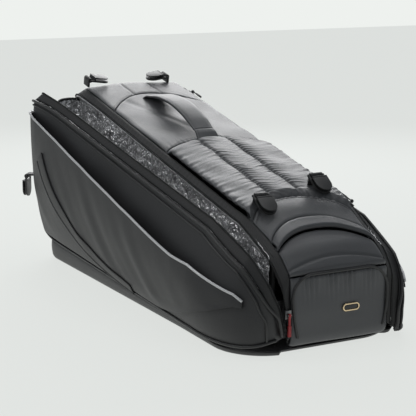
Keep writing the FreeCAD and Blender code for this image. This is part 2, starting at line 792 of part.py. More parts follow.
top_edge, under_edge = arch(pad_half), arch(-pad_half)
loop = [top_edge, under_edge]
for side in (0, 1):
    loop.append(Part.makeLine(top_edge.Vertexes[side].Point, under_edge.Vertexes[side].Point))
strap = Part.Face(Part.Wire(Part.__sortEdges__(loop)))
strap.translate(Y_AXIS * -(size("handle_width") / 2))
soft("handle_strap", strap.extrude(Y_AXIS * size("handle_width")), deck)
half_strap = size("handle_width") / 2
shelf_top = seat + foil
shelf_low = shelf_top - size("anchor_shelf")
for name, start, foot in (("far", 0, 0),
                          ("near", handle_length - anchor, handle_length - post)):
    stand = slab((foot, -half_strap, gap), (foot + post, half_strap, shelf_top))
    shelf = slab((start, -half_strap, shelf_low), (start + anchor, half_strap, shelf_top))
    soft("handle_%s_anchor" % name, stand.fuse(shelf).removeSplitter(), deck)

# ---------------------------------------------------------------- the strap clips

def clip_frame(origin, along, outward, tilt=0.0):
    """A placement for a clip whose bar is at the origin and whose tip points along X."""
    frame = slider_frame(origin, along, outward)
    tipped = FreeCAD.Placement(Vector(), FreeCAD.Rotation(Y_AXIS, -tilt))
    return frame.multiply(tipped)


def clip_body(name, frame):
    """The clip's lower plate, its two arms and the bar that the webbing holds."""
    half = "clip_width / 2"
    reach = "clip_bar_radius + clip_window"
    bar = round_bar(name + "_bar", "clip_bar_radius", "clip_width", ("0", "-(" + half + ")", "0"),
                    ALONG_Y)
    arms = []
    for hand, corner in (("low", "-(" + half + ")"), ("high", half + " - clip_arm")):
        arms.append(block(name + "_arm_" + hand, reach + " + 2", "clip_arm", "clip_plate",
                          ("0", corner, "-(clip_plate / 2)")))
    waist = block(name + "_waist", "clip_waist", "clip_width", "clip_plate",
                  (reach, "-(" + half + ")", "-(clip_plate / 2)"))
    tip = round_bar(name + "_tip", half, "clip_plate",
                    (reach + " + clip_waist", "0", "-(clip_plate / 2)"))
    root = block(name + "_root", "clip_root", "clip_width - clip_arm", "clip_mouth + gate_plate",
                 (reach, "-(" + half + " - clip_arm / 2)", "clip_plate / 2"))
    whole = fused(name, [bar] + arms + [waist, tip, root])
    whole.Placement = frame
    return node(name, whole)


def clip_gate(name, frame):
    """The springy upper tongue that closes the clip's mouth."""
    start = "clip_bar_radius + clip_window + clip_root + seam_gap"
    level_z = "clip_plate / 2 + clip_mouth"
    waist = block(name + "_waist", "clip_waist - clip_arm", "clip_width - 2", "gate_plate",
                  (start, "-(clip_width / 2 - 1)", level_z))
    tip = round_bar(name + "_tip", "clip_width / 2 - 1", "gate_plate",
                    (start + " + clip_waist - clip_arm", "0", level_z))
    whole = fused(name, [waist, tip])
    whole.Placement = frame
    return node(name, whole)


def webbing_loop(name, frame, height):
    """The doubled webbing that holds a clip's bar off the cloth it is sewn to."""
    width = "clip_width - clip_arm * 2 - 2"
    low = "-(" + width + ") / 2"
    outer = "clip_bar_radius + loop_play + loop_thickness"
    roll = round_bar(name + "_roll", outer, width, ("0", low, "0"), ALONG_Y)
    tail = block(name + "_tail", height, width, "loop_thickness * 2",
                 ("-(" + height + ")", low, "-(" + outer + ")"))
    body = fused(name + "_body", [roll, tail])
    hole = round_bar(name + "_hole", "clip_bar_radius + loop_play", "clip_width",
                     ("0", "-(clip_width / 2)", "0"), ALONG_Y)
    whole = cut(name, body, hole)
    whole.Placement = frame
    return node(name, whole)


up_slope = Vector(-slope.z, 0, slope.x)


def on_top(x, y, height, lift=0.0):
    """A clip's bar centre over the top panels."""
    return Vector(x, y, crown(x)) + up_slope * (size(height) + gap + lift)


def on_side(angle, share):
    """A clip's bar centre off the open wall's round far end, and its outward direction."""
    station = far_station(angle)
    cloth = pocket_outside(station[0].x, share)
    spot = wall_point(station, share, cloth + size("side_loop_height") + wall_skin / 2, -1)
    return REST["left"].multVec(spot), Vector(station[1].x, -station[1].y, 0)


pad_lift = size("pad_rise")
near_tilt, far_tilt = size("near_clip_tilt"), size("far_clip_tilt")
near_y = top_half - size("near_clip_inset")
far_clip_x = -half_length + size("far_clip_reach")
near_left_x = half_length - size("near_left_clip_back")
near_right_x = half_length - size("near_right_clip_back")
near, far = "near_loop_height", "far_loop_height"
side_spot, side_out = on_side(size("side_clip_angle"), size("side_clip_share"))
# each clip's bar centre, the way that its tip points, outwards, its tilt and its loop's height
CLIPS = {
    "near_left": (on_top(near_left_x, -near_y, near), slope, up_slope, near_tilt, near),
    "near_right": (on_top(near_right_x, near_y, near, pad_lift), slope, up_slope, near_tilt,
                   near),
    "far_left": (on_top(far_clip_x, -top_half + size("far_left_clip_inset"), far),
                 Vector(Y_AXIS), up_slope, far_tilt, far),
    "far_right": (on_top(far_clip_x, top_half - size("far_right_clip_inset"), far),
                  Y_AXIS * -1, up_slope, far_tilt, far),
    "side": (side_spot, Z_AXIS * -1, side_out, 0, "side_loop_height"),
}
for name, (spot, along, outward, tilt, height) in CLIPS.items():
    clip_body(name + "_clip", clip_frame(spot, along, outward, tilt))
    clip_gate(name + "_clip_gate", clip_frame(spot, along, outward, tilt))
    webbing_loop(name + "_clip_loop", slider_frame(spot, outward, along), height)

# ---------------------------------------------------------------- the badge

badge_frame = FreeCAD.Placement(Vector(half_length + gap, size("badge_y"), size("badge_z")),
                                FreeCAD.Rotation(Y_AXIS, Z_AXIS, X_AXIS, "XYZ"))


def plate(name, length, height, low, thickness):
    """A flat stadium, its long way along X, from a height up."""
    half = "(" + height + ") / 2"
    reach = "((" + length + ") - (" + height + ")) / 2"
    middle = block(name + "_middle", "(" + length + ") - (" + height + ")", height, thickness,
                   ("-(" + reach + ")", "-(" + half + ")", low))
    ends = [round_bar(name + "_end_" + hand, half, thickness, (sign + "(" + reach + ")", "0", low))
            for hand, sign in (("low", "-"), ("high", ""))]
    return fused(name, [middle] + ends)


frame_plate = plate("badge_outside", "badge_length", "badge_height", "0", "badge_thickness")
window = plate("badge_window", "badge_length - badge_rim * 2", "badge_height - badge_rim * 2",
               "-1", "badge_thickness + 2")
badge = cut("badge_frame", frame_plate, window)
badge.Placement = badge_frame
node("badge_frame", badge)
insert = plate("badge_insert", "badge_length - badge_rim * 2 - 0.2",
               "badge_height - badge_rim * 2 - 0.2", "0", "badge_thickness / 2")
insert.Placement = badge_frame
node("badge_insert", insert)

# ---------------------------------------------------------------- check and write

doc.recompute()
for thing in doc.Objects:
    faults = [state for state in thing.State if state in ("Invalid", "Error")]
    if faults:
        raise RuntimeError("%s: %s" % (thing.Label, faults))
os.makedirs("parts", exist_ok=True)
for thing in nodes:
    shape = thing.Shape
    if shape.isNull() or not shape.isValid() or not shape.Solids:
        raise RuntimeError("%s has no valid solid" % thing.Label)
    shape.exportStep("parts/%s.step" % thing.Label)
    print("%-24s %9.1f cm3  %d solid(s)" % (thing.Label, shape.Volume / 1000, len(shape.Solids)))
print(len(nodes), "nodes")
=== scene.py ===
"""A racket tournament bag, modelled round its packed CAD frame."""

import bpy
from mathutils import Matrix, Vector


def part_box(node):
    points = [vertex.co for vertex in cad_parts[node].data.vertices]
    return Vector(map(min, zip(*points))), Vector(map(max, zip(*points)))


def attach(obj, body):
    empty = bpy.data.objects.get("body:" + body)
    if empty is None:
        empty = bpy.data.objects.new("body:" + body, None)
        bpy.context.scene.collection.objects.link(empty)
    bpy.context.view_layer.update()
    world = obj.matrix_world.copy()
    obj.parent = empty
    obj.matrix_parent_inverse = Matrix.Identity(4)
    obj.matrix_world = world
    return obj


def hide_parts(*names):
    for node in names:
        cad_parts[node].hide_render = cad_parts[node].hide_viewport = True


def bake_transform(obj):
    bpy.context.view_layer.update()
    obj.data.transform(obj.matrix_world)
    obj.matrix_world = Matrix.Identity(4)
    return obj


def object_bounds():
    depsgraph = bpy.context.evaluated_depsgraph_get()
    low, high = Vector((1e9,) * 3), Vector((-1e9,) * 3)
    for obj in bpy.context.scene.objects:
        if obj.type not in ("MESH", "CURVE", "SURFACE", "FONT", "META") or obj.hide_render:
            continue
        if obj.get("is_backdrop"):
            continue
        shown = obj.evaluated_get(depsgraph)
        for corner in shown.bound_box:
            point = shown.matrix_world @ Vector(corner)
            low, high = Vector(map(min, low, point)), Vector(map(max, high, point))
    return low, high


bl_info = {
    "name": "Racket tournament bag",
    "version": (1, 0, 0),
    "blender": (4, 5, 0),
    "location": "View3D > Sidebar > Bag",
    "description": "Builds the sewn shell, linings, zips and hardware of a racket bag",
    "category": "Object",
}

import math

import bmesh
import bpy
import numpy as np
from mathutils import Matrix, Vector

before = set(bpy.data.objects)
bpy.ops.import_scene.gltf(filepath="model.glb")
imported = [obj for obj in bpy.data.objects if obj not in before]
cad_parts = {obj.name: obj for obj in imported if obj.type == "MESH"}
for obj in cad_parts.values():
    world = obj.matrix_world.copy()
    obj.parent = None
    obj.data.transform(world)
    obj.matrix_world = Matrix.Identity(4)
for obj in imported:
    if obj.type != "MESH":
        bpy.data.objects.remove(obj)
CAD_LOW, CAD_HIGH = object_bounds()

MM = 0.001
SIDES = {"left": -1, "right": 1}


def box_mm(node):
    """A CAD node's corners in millimetres."""
    low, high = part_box(node)
    return np.array(low) / MM, np.array(high) / MM


# ------------------------------------------------------------------ the frame's own sizes

HALF_LENGTH = box_mm("base_tray")[1][0]
HALF_WIDTH = box_mm("base_tray")[1][1]
SPREAD = -box_mm("base_tray")[0][1] - HALF_WIDTH
TOP_HALF = box_mm("handle_bay_panel")[1][1]
NOSE_HALF = box_mm("nose_panel")[1][1]
FAR_HEIGHT, FAR_LEAN = 338.0, 8.0
# the top outline's corners, as (x, z)
BREAK, BROW, LIP = (262.0, 192.5), (350.0, 148.0), (381.0, 118.0)
LIP_FALL = 12.0
# the radius at the far foot, the far top corner, the break, the brow, the lip, the badge and
# the near foot
PROFILE_ROUNDS = (26.0, 40.0, 120.0, 60.0, 24.0, 200.0, 26.0)
PROFILE_STEP = 1.5
TAPER_START, TAPER_LENGTH = 225.0, 105.0
BADGE_Z, BADGE_Y = 60.0, 17.0
SKIN = 8.0
YOKE_Z = box_mm("far_yoke")[0][2]
SKIRT_FAR, SKIRT_NEAR = 42.0, 8.0
BELLY, SHOULDER_DROP, SHOULDER_INSET = 18.0, 26.0, 17.0
FAR_TURN, NEAR_LONG, NEAR_SHORT = 42.0, 120.0, 39.0
FOOT_ROUNDS = {1: (30.0, 90.0), -1: (60.0, 85.0)}
WALL_SKIN = 6.0
OPEN_ANGLE = 14.0
POCKET_KNEE, POCKET_TIP = 235.0, 368.0


def crown(x):
    """Height of the straight top line."""
    return FAR_HEIGHT + (BREAK[1] - FAR_HEIGHT) / (BREAK[0] + HALF_LENGTH) * (x + HALF_LENGTH)


def top_height(x):
    """Height of the top, with the nose's slopes."""
    knees = (-HALF_LENGTH, BREAK[0], BROW[0], LIP[0], HALF_LENGTH)
    return np.interp(x, knees, (FAR_HEIGHT, BREAK[1], BROW[1], LIP[1], LIP[1] - LIP_FALL))


def seam_height(x):
    """Height of the seam where a side wall meets the base."""
    return SKIRT_FAR + (SKIRT_NEAR - SKIRT_FAR) * (x + HALF_LENGTH) / (2 * HALF_LENGTH)


def profile_line():
    """The bag's side outline from the far end's foot over the top to the near end's foot."""
    corners = [(-HALF_LENGTH, 0), (-HALF_LENGTH + FAR_LEAN, crown(-HALF_LENGTH + FAR_LEAN)),
               BREAK, BROW, LIP, (HALF_LENGTH, BADGE_Z), (HALF_LENGTH, 0)]
    points = []
    for i, radius in enumerate(PROFILE_ROUNDS):
        corner = np.array(corners[i], float)
        before = np.array(corners[i - 1], float) - corner
        after = np.array(corners[(i + 1) % len(corners)], float) - corner
        before /= np.linalg.norm(before)
        after /= np.linalg.norm(after)
        half = math.acos(before @ after) / 2
        middle = (before + after) / np.linalg.norm(before + after)
        centre = corner + middle * radius / math.sin(half)
        ends = [corner + way * radius / math.tan(half) - centre for way in (before, after)]
        start, stop = (math.atan2(end[1], end[0]) for end in ends)
        turn = (stop - start + math.pi) % (2 * math.pi) - math.pi
        for share in np.linspace(0, 1, 15):
            angle = start + turn * share
            points.append(centre + radius * np.array((math.cos(angle), math.sin(angle))))
    points = np.array(points)
    length = np.concatenate([[0], np.cumsum(np.linalg.norm(np.diff(points, axis=0), axis=1))])
    even = np.arange(0, length[-1], PROFILE_STEP)
    return even, np.interp(even, length, points[:, 0]), np.interp(even, length, points[:, 1])


PS, PX, PZ = profile_line()
TX, TZ = np.gradient(PX), np.gradient(PZ)
NX, NZ = -TZ / np.hypot(TX, TZ), TX / np.hypot(TX, TZ)
FAR_I, NEAR_I, TOP_I = int(np.argmin(PX)), int(np.argmax(PX)), int(np.argmax(PZ))


def on_profile(s):
    """Point and outward direction of the side outline at a length along it."""
    return tuple(np.interp(s, PS, line) for line in (PX, PZ, NX, NZ))


def s_at_x(x):
    """The length along the outline at x, over the top."""
    return np.interp(x, PX[FAR_I:NEAR_I + 1], PS[FAR_I:NEAR_I + 1])


def s_at_far_z(z):
    """The length along the outline at a height of the far end."""
    return float(np.interp(z, PZ[:TOP_I + 1], PS[:TOP_I + 1]))


def s_at_near_z(z):
    """The length along the outline at a height of the near end."""
    return float(np.interp(z, PZ[:TOP_I - 1:-1], PS[:TOP_I - 1:-1]))


def smooth(t):
    """A soft step from 0 to 1."""
    t = np.clip(t, 0, 1)
    return t * t * (3 - 2 * t)


def half_at(x):
    """Half width of the top panels, which narrow over the nose."""
    return TOP_HALF + (NOSE_HALF - TOP_HALF) * smooth(
        (np.asarray(x, float) - TAPER_START) / TAPER_LENGTH)


# ------------------------------------------------------------------ cloth's own shapes


def rolled(distance, reach, depth):
    """How far a panel's face dips beside a seam."""
    t = np.clip(distance / reach, 0, 1)
    return -depth * (1 - np.sqrt(1 - (1 - t) ** 2))


def ripple(t, pitch, seed):
    """An uneven wave along a line."""
    rng = np.random.default_rng(seed)
    total = 0
    for _ in range(6):
        total = total + np.sin(2 * math.pi * rng.uniform(0.55, 1.6) * t / pitch
                               + rng.uniform(0, 2 * math.pi))
    return total / 2.4


def rumple(u, v, pitch, seed, waves=16):
    """An uneven soft surface."""
    rng = np.random.default_rng(seed)
    total = 0
    for _ in range(waves):
        angle, turn = rng.uniform(0, math.pi), rng.uniform(0, 2 * math.pi)
        rate = 2 * math.pi * rng.uniform(0.7, 1.4) / pitch
        total = total + np.sin(rate * (u * math.cos(angle) + v * math.sin(angle)) + turn)
    return total / math.sqrt(waves)


def crinkle(u, v, pitch, seed):
    """Sharp random creases: 0 in a crease, towards 1 between."""
    return np.minimum(np.abs(rumple(u, v, pitch, seed)), np.abs(rumple(u, v, pitch, seed + 1)))


def groove(distance, width):
    """The dip of a sewn line."""
    return -np.exp(-(distance / width) ** 2)


def pucker(distance, along, seed, pitch=11.0, reach=13.0):
    """The small pleats that gather off a sewn line."""
    side = np.where(distance < 0, 1.0, 2.0)
    wave = np.where(distance < 0, ripple(along + 0.45 * distance, pitch, seed),
                    ripple(along - 0.35 * distance, pitch, seed + 7))
    return wave * np.exp(-np.abs(distance) / reach) * (0.8 + 0.1 * side)


def clustered(count):
    """Shares from 0 to 1, closer together near both ends."""
    t = np.linspace(0, 1, count)
    return 0.55 * t + 0.45 * (0.5 - 0.5 * np.cos(math.pi * t))


# ------------------------------------------------------------------ mesh makers


def unit(v):
    """Directions at length 1."""
    return v / np.maximum(np.linalg.norm(v, axis=-1, keepdims=True), 1e-9)


def surface_normals(grid, hint):
    """A grid's directions on the hint's side, and whether its own ones face away from it."""
    n = unit(np.cross(np.gradient(grid, axis=0), np.gradient(grid, axis=1)))
    return (n, False) if (n * np.asarray(hint, float)).sum(-1).mean() > 0 else (-n, True)


def shell(grid, thickness, hint):
    """A closed sheet whose outer face is a grid of points."""
    rows, columns = grid.shape[:2]
    normals, turned = surface_normals(grid, hint)
    inner = grid - normals * np.asarray(thickness, float)
    points = np.concatenate([grid.reshape(-1, 3), inner.reshape(-1, 3)])
    index = np.arange(rows * columns).reshape(rows, columns)
    under = index + rows * columns
    a, b, c, d = index[:-1, :-1], index[1:, :-1], index[1:, 1:], index[:-1, 1:]
    outer = np.stack([a, b, c, d], -1).reshape(-1, 4)
    back = (np.stack([a, d, c, b], -1) + rows * columns).reshape(-1, 4)
    rim = np.concatenate([index[:, 0], index[-1, 1:], index[-2::-1, -1], index[0, -2:0:-1]])
    rim_under = np.concatenate([under[:, 0], under[-1, 1:], under[-2::-1, -1],
                                under[0, -2:0:-1]])
    sides = np.stack([np.roll(rim, -1), rim, rim_under, np.roll(rim_under, -1)], -1)
    faces = np.concatenate([outer, back, sides])
    if turned:
        faces = faces[:, ::-1]
    return points, faces.tolist()


def ring_faces(rings, count):
    """The faces of a closed skin through rings of points, with a face over each end."""
    faces = [[i * count + j, i * count + (j + 1) % count, (i + 1) * count + (j + 1) % count,
              (i + 1) * count + j] for i in range(rings - 1) for j in range(count)]
    last = (rings - 1) * count
    return faces + [list(range(count))[::-1], list(range(last, last + count))]


def tube(path, radius, sides=8):
    """A round bead along points, closed at both ends."""
    path = np.asarray(path, float)
    tangent = unit(np.gradient(path, axis=0))
    side = np.cross(tangent[0], (0.3, 0.2, 0.93))
    side /= np.linalg.norm(side)
    angles = np.linspace(0, 2 * math.pi, sides, endpoint=False)
    rings = []
    for point, along in zip(path, tangent):
        side = side - along * (side @ along)
        side /= np.linalg.norm(side)
        up = np.cross(along, side)
        rings.append(point + radius * (np.outer(np.cos(angles), side)
                                       + np.outer(np.sin(angles), up)))
    return np.concatenate(rings), ring_faces(len(rings), sides)


def joined(parts):
    """Several closed parts as one."""
    points, faces, offset = [], [], 0
    for part_points, part_faces in parts:
        points.append(part_points)
        faces += [[i + offset for i in face] for face in part_faces]
        offset += len(part_points)
    return np.concatenate(points), faces


def in_scene(name, data):
    """A new object in the scene."""
    thing = bpy.data.objects.new(name, data)
    bpy.context.scene.collection.objects.link(thing)
    return thing


def smoothed(mesh):
    """Smooth shading all over a mesh."""
    mesh.polygons.foreach_set("use_smooth", [True] * len(mesh.polygons))


def build(name, parts, material):
    """An object at the origin from closed parts in millimetres."""
    points, faces = joined(parts)
    mesh = bpy.data.meshes.new(name)
    mesh.from_pydata((points * MM).tolist(), [], faces)
    mesh.validate()
    smoothed(mesh)
    mesh.materials.append(material)
    return in_scene(name, mesh)


def faced_outwards(thing):
    """Turn a closed piece's faces outwards."""
    mesh = bmesh.new()
    mesh.from_mesh(thing.data)
    bmesh.ops.recalc_face_normals(mesh, faces=mesh.faces)
    mesh.to_mesh(thing.data)
    mesh.free()


def finished(thing, body, slot, *nodes):
    """Declare what a piece rides on, its slot and the CAD nodes that it stands for."""
    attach(thing, body)
    if nodes:
        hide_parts(*nodes)
    return thing


def crisp(thing, angle):
    """Smooth shading that keeps edges sharper than an angle in degrees."""
    with bpy.context.temp_override(object=thing, active_object=thing,
                                   selected_objects=[thing],
                                   selected_editable_objects=[thing]):
        bpy.ops.object.shade_smooth_by_angle(angle=math.radians(angle))


def eased(node, name, width, material, body, slot, segments=2):
    """A moulded or pressed CAD part again, with its edges rounded over."""
    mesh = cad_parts[node].data.copy()
    tool = bmesh.new()
    tool.from_mesh(mesh)
    bmesh.ops.remove_doubles(tool, verts=tool.verts, dist=1e-6)
    bmesh.ops.dissolve_limit(tool, angle_limit=math.radians(1.5), verts=tool.verts,
                             edges=tool.edges)
    tool.to_mesh(mesh)
    tool.free()
    mesh.materials.clear()
    mesh.materials.append(material)
    smoothed(mesh)
    thing = in_scene(name, mesh)
    bevel = thing.modifiers.new("round over", "BEVEL")
    bevel.width = width * MM
    bevel.segments = segments
    bevel.limit_method = "ANGLE"
    bevel.angle_limit = math.radians(32)
    bevel.harden_normals = False
    settled(thing)
    crisp(thing, 40)
    return finished(thing, body, slot, node)


def settled(thing):
    """Apply a piece's modifiers."""
    graph = bpy.context.evaluated_depsgraph_get()
    mesh = bpy.data.meshes.new_from_object(thing.evaluated_get(graph))
    thing.modifiers.clear()
    thing.data = mesh
    return thing


# ------------------------------------------------------------------ shader groups


def group(name, inputs, outputs):
    """An empty shader group with its sockets: (name, kind, default)."""
    tree = bpy.data.node_groups.new(name, "ShaderNodeTree")
    for label, kind, default in inputs:
        socket = tree.interface.new_socket(label, in_out="INPUT", socket_type=kind)
        socket.default_value = default
    for label, kind in outputs:
        tree.interface.new_socket(label, in_out="OUTPUT", socket_type=kind)
    return tree, tree.nodes.new("NodeGroupInput"), tree.nodes.new("NodeGroupOutput")


FLOAT, COLOUR, VECTOR = "NodeSocketFloat", "NodeSocketColor", "NodeSocketVector"


def math_node(tree, kind, a, b=None):
    """A Math node's output, from sockets or numbers."""
    step = tree.nodes.new("ShaderNodeMath")
    step.operation = kind
    for socket, value in zip(step.inputs, (a, b)):
        if isinstance(value, (int, float)):
            socket.default_value = value
        elif value is not None:
            tree.links.new(value, socket)
    return step.outputs[0]


def noise_node(tree, place, scale, detail=3.0, rough=0.5):
    """A Noise Texture's value, with its scale from a socket or a number."""
    texture = tree.nodes.new("ShaderNodeTexNoise")
    texture.inputs["Detail"].default_value = detail
    texture.inputs["Roughness"].default_value = rough
    if isinstance(scale, (int, float)):
        texture.inputs["Scale"].default_value = scale
    else:
        tree.links.new(scale, texture.inputs["Scale"])
    tree.links.new(place, texture.inputs["Vector"])
    return texture.outputs["Fac"]


def colour_mix(tree, factor, first, second):
    """A blend of two colours, each from a socket or given."""
    blend = tree.nodes.new("ShaderNodeMix")
    blend.data_type = "RGBA"
    tree.links.new(factor, blend.inputs["Factor"])
    for label, colour in (("A", first), ("B", second)):
        if isinstance(colour, tuple):
            blend.inputs[label].default_value = colour
        else:
            tree.links.new(colour, blend.inputs[label])
    return blend.outputs["Result"]


def spread(tree, value, low, high):
    """A value from 0 to 1 spread between two numbers or sockets."""
    span = tree.nodes.new("ShaderNodeMapRange")
    tree.links.new(value, span.inputs["Value"])
    for label, end in (("To Min", low), ("To Max", high)):
        if isinstance(end, (int, float)):
            span.inputs[label].default_value = end
        else:
            tree.links.new(end, span.inputs[label])
    return span.outputs["Result"]


def coated_cloth_group():
    """The fine grain, soft creases and uneven tone of a coated fabric."""
    tree, given, result = group(
        "coated_cloth", [("Place", VECTOR, (0, 0, 0)), ("Grain scale", FLOAT, 900.0),
                         ("Crease scale", FLOAT, 14.0), ("Grain depth", FLOAT, 0.35),
                         ("Light", COLOUR, (0.1, 0.1, 0.1, 1)),
                         ("Dark", COLOUR, (0.05, 0.05, 0.05, 1)),
                         ("Rough low", FLOAT, 0.4), ("Rough high", FLOAT, 0.6)],
        [("Colour", COLOUR), ("Roughness", FLOAT), ("Height", FLOAT)])
    place = given.outputs["Place"]
    cells = tree.nodes.new("ShaderNodeTexVoronoi")
    cells.feature = "F1"
    tree.links.new(place, cells.inputs["Vector"])
    tree.links.new(given.outputs["Grain scale"], cells.inputs["Scale"])
    creases = noise_node(tree, place, given.outputs["Crease scale"], 5.0, 0.55)
    tone = noise_node(tree, place, 6.0, 2.0)
    speck = noise_node(tree, place, 420.0, 2.0)
    mask = math_node(tree, "ADD", math_node(tree, "MULTIPLY", tone, 0.75),
                     math_node(tree, "MULTIPLY", speck, 0.35))
    colour = colour_mix(tree, mask, given.outputs["Dark"], given.outputs["Light"])
    tree.links.new(colour, result.inputs["Colour"])
    wear = math_node(tree, "ADD", math_node(tree, "MULTIPLY", creases, 0.6),
                     math_node(tree, "MULTIPLY", speck, 0.4))
    rough = spread(tree, wear, given.outputs["Rough low"], given.outputs["Rough high"])
    tree.links.new(rough, result.inputs["Roughness"])
    grain = math_node(tree, "MULTIPLY", cells.outputs["Distance"], given.outputs["Grain depth"])
    tree.links.new(math_node(tree, "ADD", grain, math_node(tree, "MULTIPLY", creases, 2.2)),
                   result.inputs["Height"])
    return tree


def weave_group():
    """The over-and-under of woven tape, as a height and a mask."""
    tree, given, result = group(
        "tape_weave", [("Place", VECTOR, (0, 0, 0)), ("Pitch scale", FLOAT, 2400.0)],
        [("Height", FLOAT), ("Mask", FLOAT)])
    parts = tree.nodes.new("ShaderNodeSeparateXYZ")
    tree.links.new(given.outputs["Place"], parts.inputs[0])
    total = None
    waves = []
    for letter in "XYZ":
        angle = math_node(tree, "MULTIPLY", parts.outputs[letter], given.outputs["Pitch scale"])
        waves.append(math_node(tree, "SINE", angle))
    for a, b in ((0, 1), (1, 2), (2, 0)):
        term = math_node(tree, "MULTIPLY", waves[a], waves[b])
        total = term if total is None else math_node(tree, "ADD", total, term)
    height = math_node(tree, "MULTIPLY_ADD", total, 0.25)
    height.node.inputs[2].default_value = 0.5
    tree.links.new(height, result.inputs["Height"])
    fleck = noise_node(tree, given.outputs["Place"], 600.0, 2.0)
    tree.links.new(math_node(tree, "MULTIPLY", height, fleck), result.inputs["Mask"])
    return tree


def foil_group():
    """The creases of a laminated foil lining."""
    tree, given, result = group(
        "foil_creases", [("Place", VECTOR, (0, 0, 0)), ("Crease scale", FLOAT, 50.0)],
        [("Height", FLOAT), ("Mask", FLOAT)])
    place = given.outputs["Place"]
    wander = tree.nodes.new("ShaderNodeTexNoise")
    wander.inputs["Scale"].default_value = 40.0
    tree.links.new(place, wander.inputs["Vector"])
    shift = tree.nodes.new("ShaderNodeVectorMath")
    shift.operation = "MULTIPLY_ADD"
    shift.inputs[1].default_value = (0.02, 0.02, 0.02)
    tree.links.new(wander.outputs["Color"], shift.inputs[0])
    tree.links.new(place, shift.inputs[2])
    heights, crease_shade_masks = [], []
    for times, share in ((1.0, 0.6), (2.3, 0.4)):
        cells = tree.nodes.new("ShaderNodeTexVoronoi")
        cells.feature = "DISTANCE_TO_EDGE"
        tree.links.new(shift.outputs[0], cells.inputs["Vector"])
        tree.links.new(math_node(tree, "MULTIPLY", given.outputs["Crease scale"], times),
                       cells.inputs["Scale"])
        heights.append(math_node(tree, "MULTIPLY", cells.outputs["Distance"], share))
        span = tree.nodes.new("ShaderNodeMapRange")
        span.inputs["From Max"].default_value = 0.09
        tree.links.new(cells.outputs["Distance"], span.inputs["Value"])
        crease_shade_masks.append(span.outputs["Result"])
    fine = noise_node(tree, place, 260.0, 4.0, 0.6)
    height = math_node(tree, "ADD", heights[0], heights[1])
    height = math_node(tree, "ADD", height, math_node(tree, "MULTIPLY", fine, 0.35))
    tree.links.new(height, result.inputs["Height"])
    tree.links.new(math_node(tree, "MULTIPLY", crease_shade_masks[0], crease_shade_masks[1]), result.inputs["Mask"])
    return tree


GROUPS = {}


def shared(name):
    """A shader group, made when it is first asked for."""
    makers = {"coated_cloth": coated_cloth_group, "tape_weave": weave_group,
              "foil_creases": foil_group}
    if name not in GROUPS:
        GROUPS[name] = makers[name]()
    return GROUPS[name]


# ------------------------------------------------------------------ materials

MATERIALS = {}


def begin(name):
    """A new material: its nodes, its shader and the place on the object."""
    material = bpy.data.materials.new(name)
    material.use_nodes = True
    tree = material.node_tree
    shader = tree.nodes["Principled BSDF"]
    place = tree.nodes.new("ShaderNodeTexCoord").outputs["Object"]
    MATERIALS[name] = material
    return tree, shader, place


def placed(tree, name, place, **numbers):
    """A shared group in a material, with its values."""
    thing = tree.nodes.new("ShaderNodeGroup")
    thing.node_tree = shared(name)
    tree.links.new(place, thing.inputs["Place"])
    for label, value in numbers.items():
        thing.inputs[label.replace("_", " ")].default_value = value
    return thing


def bumped(tree, shader, height, strength, distance):
    """Let a height tilt the surface."""
    bump = tree.nodes.new("ShaderNodeBump")
    bump.inputs["Strength"].default_value = strength
    bump.inputs["Distance"].default_value = distance
    tree.links.new(height, bump.inputs["Height"])
    tree.links.new(bump.outputs["Normal"], shader.inputs["Normal"])


def grey(level):
    return (level, level, level, 1)


def cloth_material(name, light, dark, rough=(0.42, 0.6), crease=14.0, grain=0.35, sheen=0.0,
                   strength=0.5):
    """Coated cloth."""
    tree, shader, place = begin(name)
    cloth = placed(tree, "coated_cloth", place, Light=light, Dark=dark, Rough_low=rough[0],
                   Rough_high=rough[1], Crease_scale=crease, Grain_depth=grain)
    tree.links.new(cloth.outputs["Colour"], shader.inputs["Base Color"])
    tree.links.new(cloth.outputs["Roughness"], shader.inputs["Roughness"])
    shader.inputs["Sheen Weight"].default_value = sheen
    shader.inputs["Sheen Roughness"].default_value = 0.4
    bumped(tree, shader, cloth.outputs["Height"], strength, 0.0011)
    return MATERIALS[name]


def woven_material(name, light, dark, rough, pitch=2400.0, metallic=0.0, depth=0.0004):
    tree, shader, place = begin(name)
    weave = placed(tree, "tape_weave", place, Pitch_scale=pitch)
    colour = colour_mix(tree, weave.outputs["Mask"], dark, light)
    tree.links.new(colour, shader.inputs["Base Color"])
    shader.inputs["Roughness"].default_value = rough
    shader.inputs["Metallic"].default_value = metallic
    bumped(tree, shader, weave.outputs["Height"], 0.8, depth)
    return MATERIALS[name]


def moulded_material(name, colour, rough, metallic=0.0, grain=1400.0, depth=0.00012, wear=None):
    """Moulded plastic or plated metal with a fine grain and handling marks."""
    tree, shader, place = begin(name)
    fine = noise_node(tree, place, grain, 2.0)
    marks = noise_node(tree, place, 55.0, 6.0, 0.7)
    worn = wear or tuple(min(1, c * 1.5) for c in colour[:3]) + (1,)
    tone = colour_mix(tree, math_node(tree, "MULTIPLY", marks, 0.6), colour, worn)
    tree.links.new(tone, shader.inputs["Base Color"])
    tree.links.new(spread(tree, marks, rough - 0.08, rough + 0.12), shader.inputs["Roughness"])
    shader.inputs["Metallic"].default_value = metallic
    bumped(tree, shader, fine, 0.5, depth)
    return MATERIALS[name]


def foil_material(name, bright, dark, metallic):
    """Laminated foil, darker and rougher in its creases."""
    tree, shader, place = begin(name)
    foil = placed(tree, "foil_creases", place)
    mask = foil.outputs["Mask"]
    # the crease mask blends in the dark colour: painted shade in the foil's creases
    tree.links.new(colour_mix(tree, mask, dark, bright), shader.inputs["Base Color"])
    tree.links.new(spread(tree, mask, 0.42, 0.24), shader.inputs["Roughness"])
    shader.inputs["Metallic"].default_value = metallic
    bumped(tree, shader, foil.outputs["Height"], 1.0, 0.006)
    return MATERIALS[name]


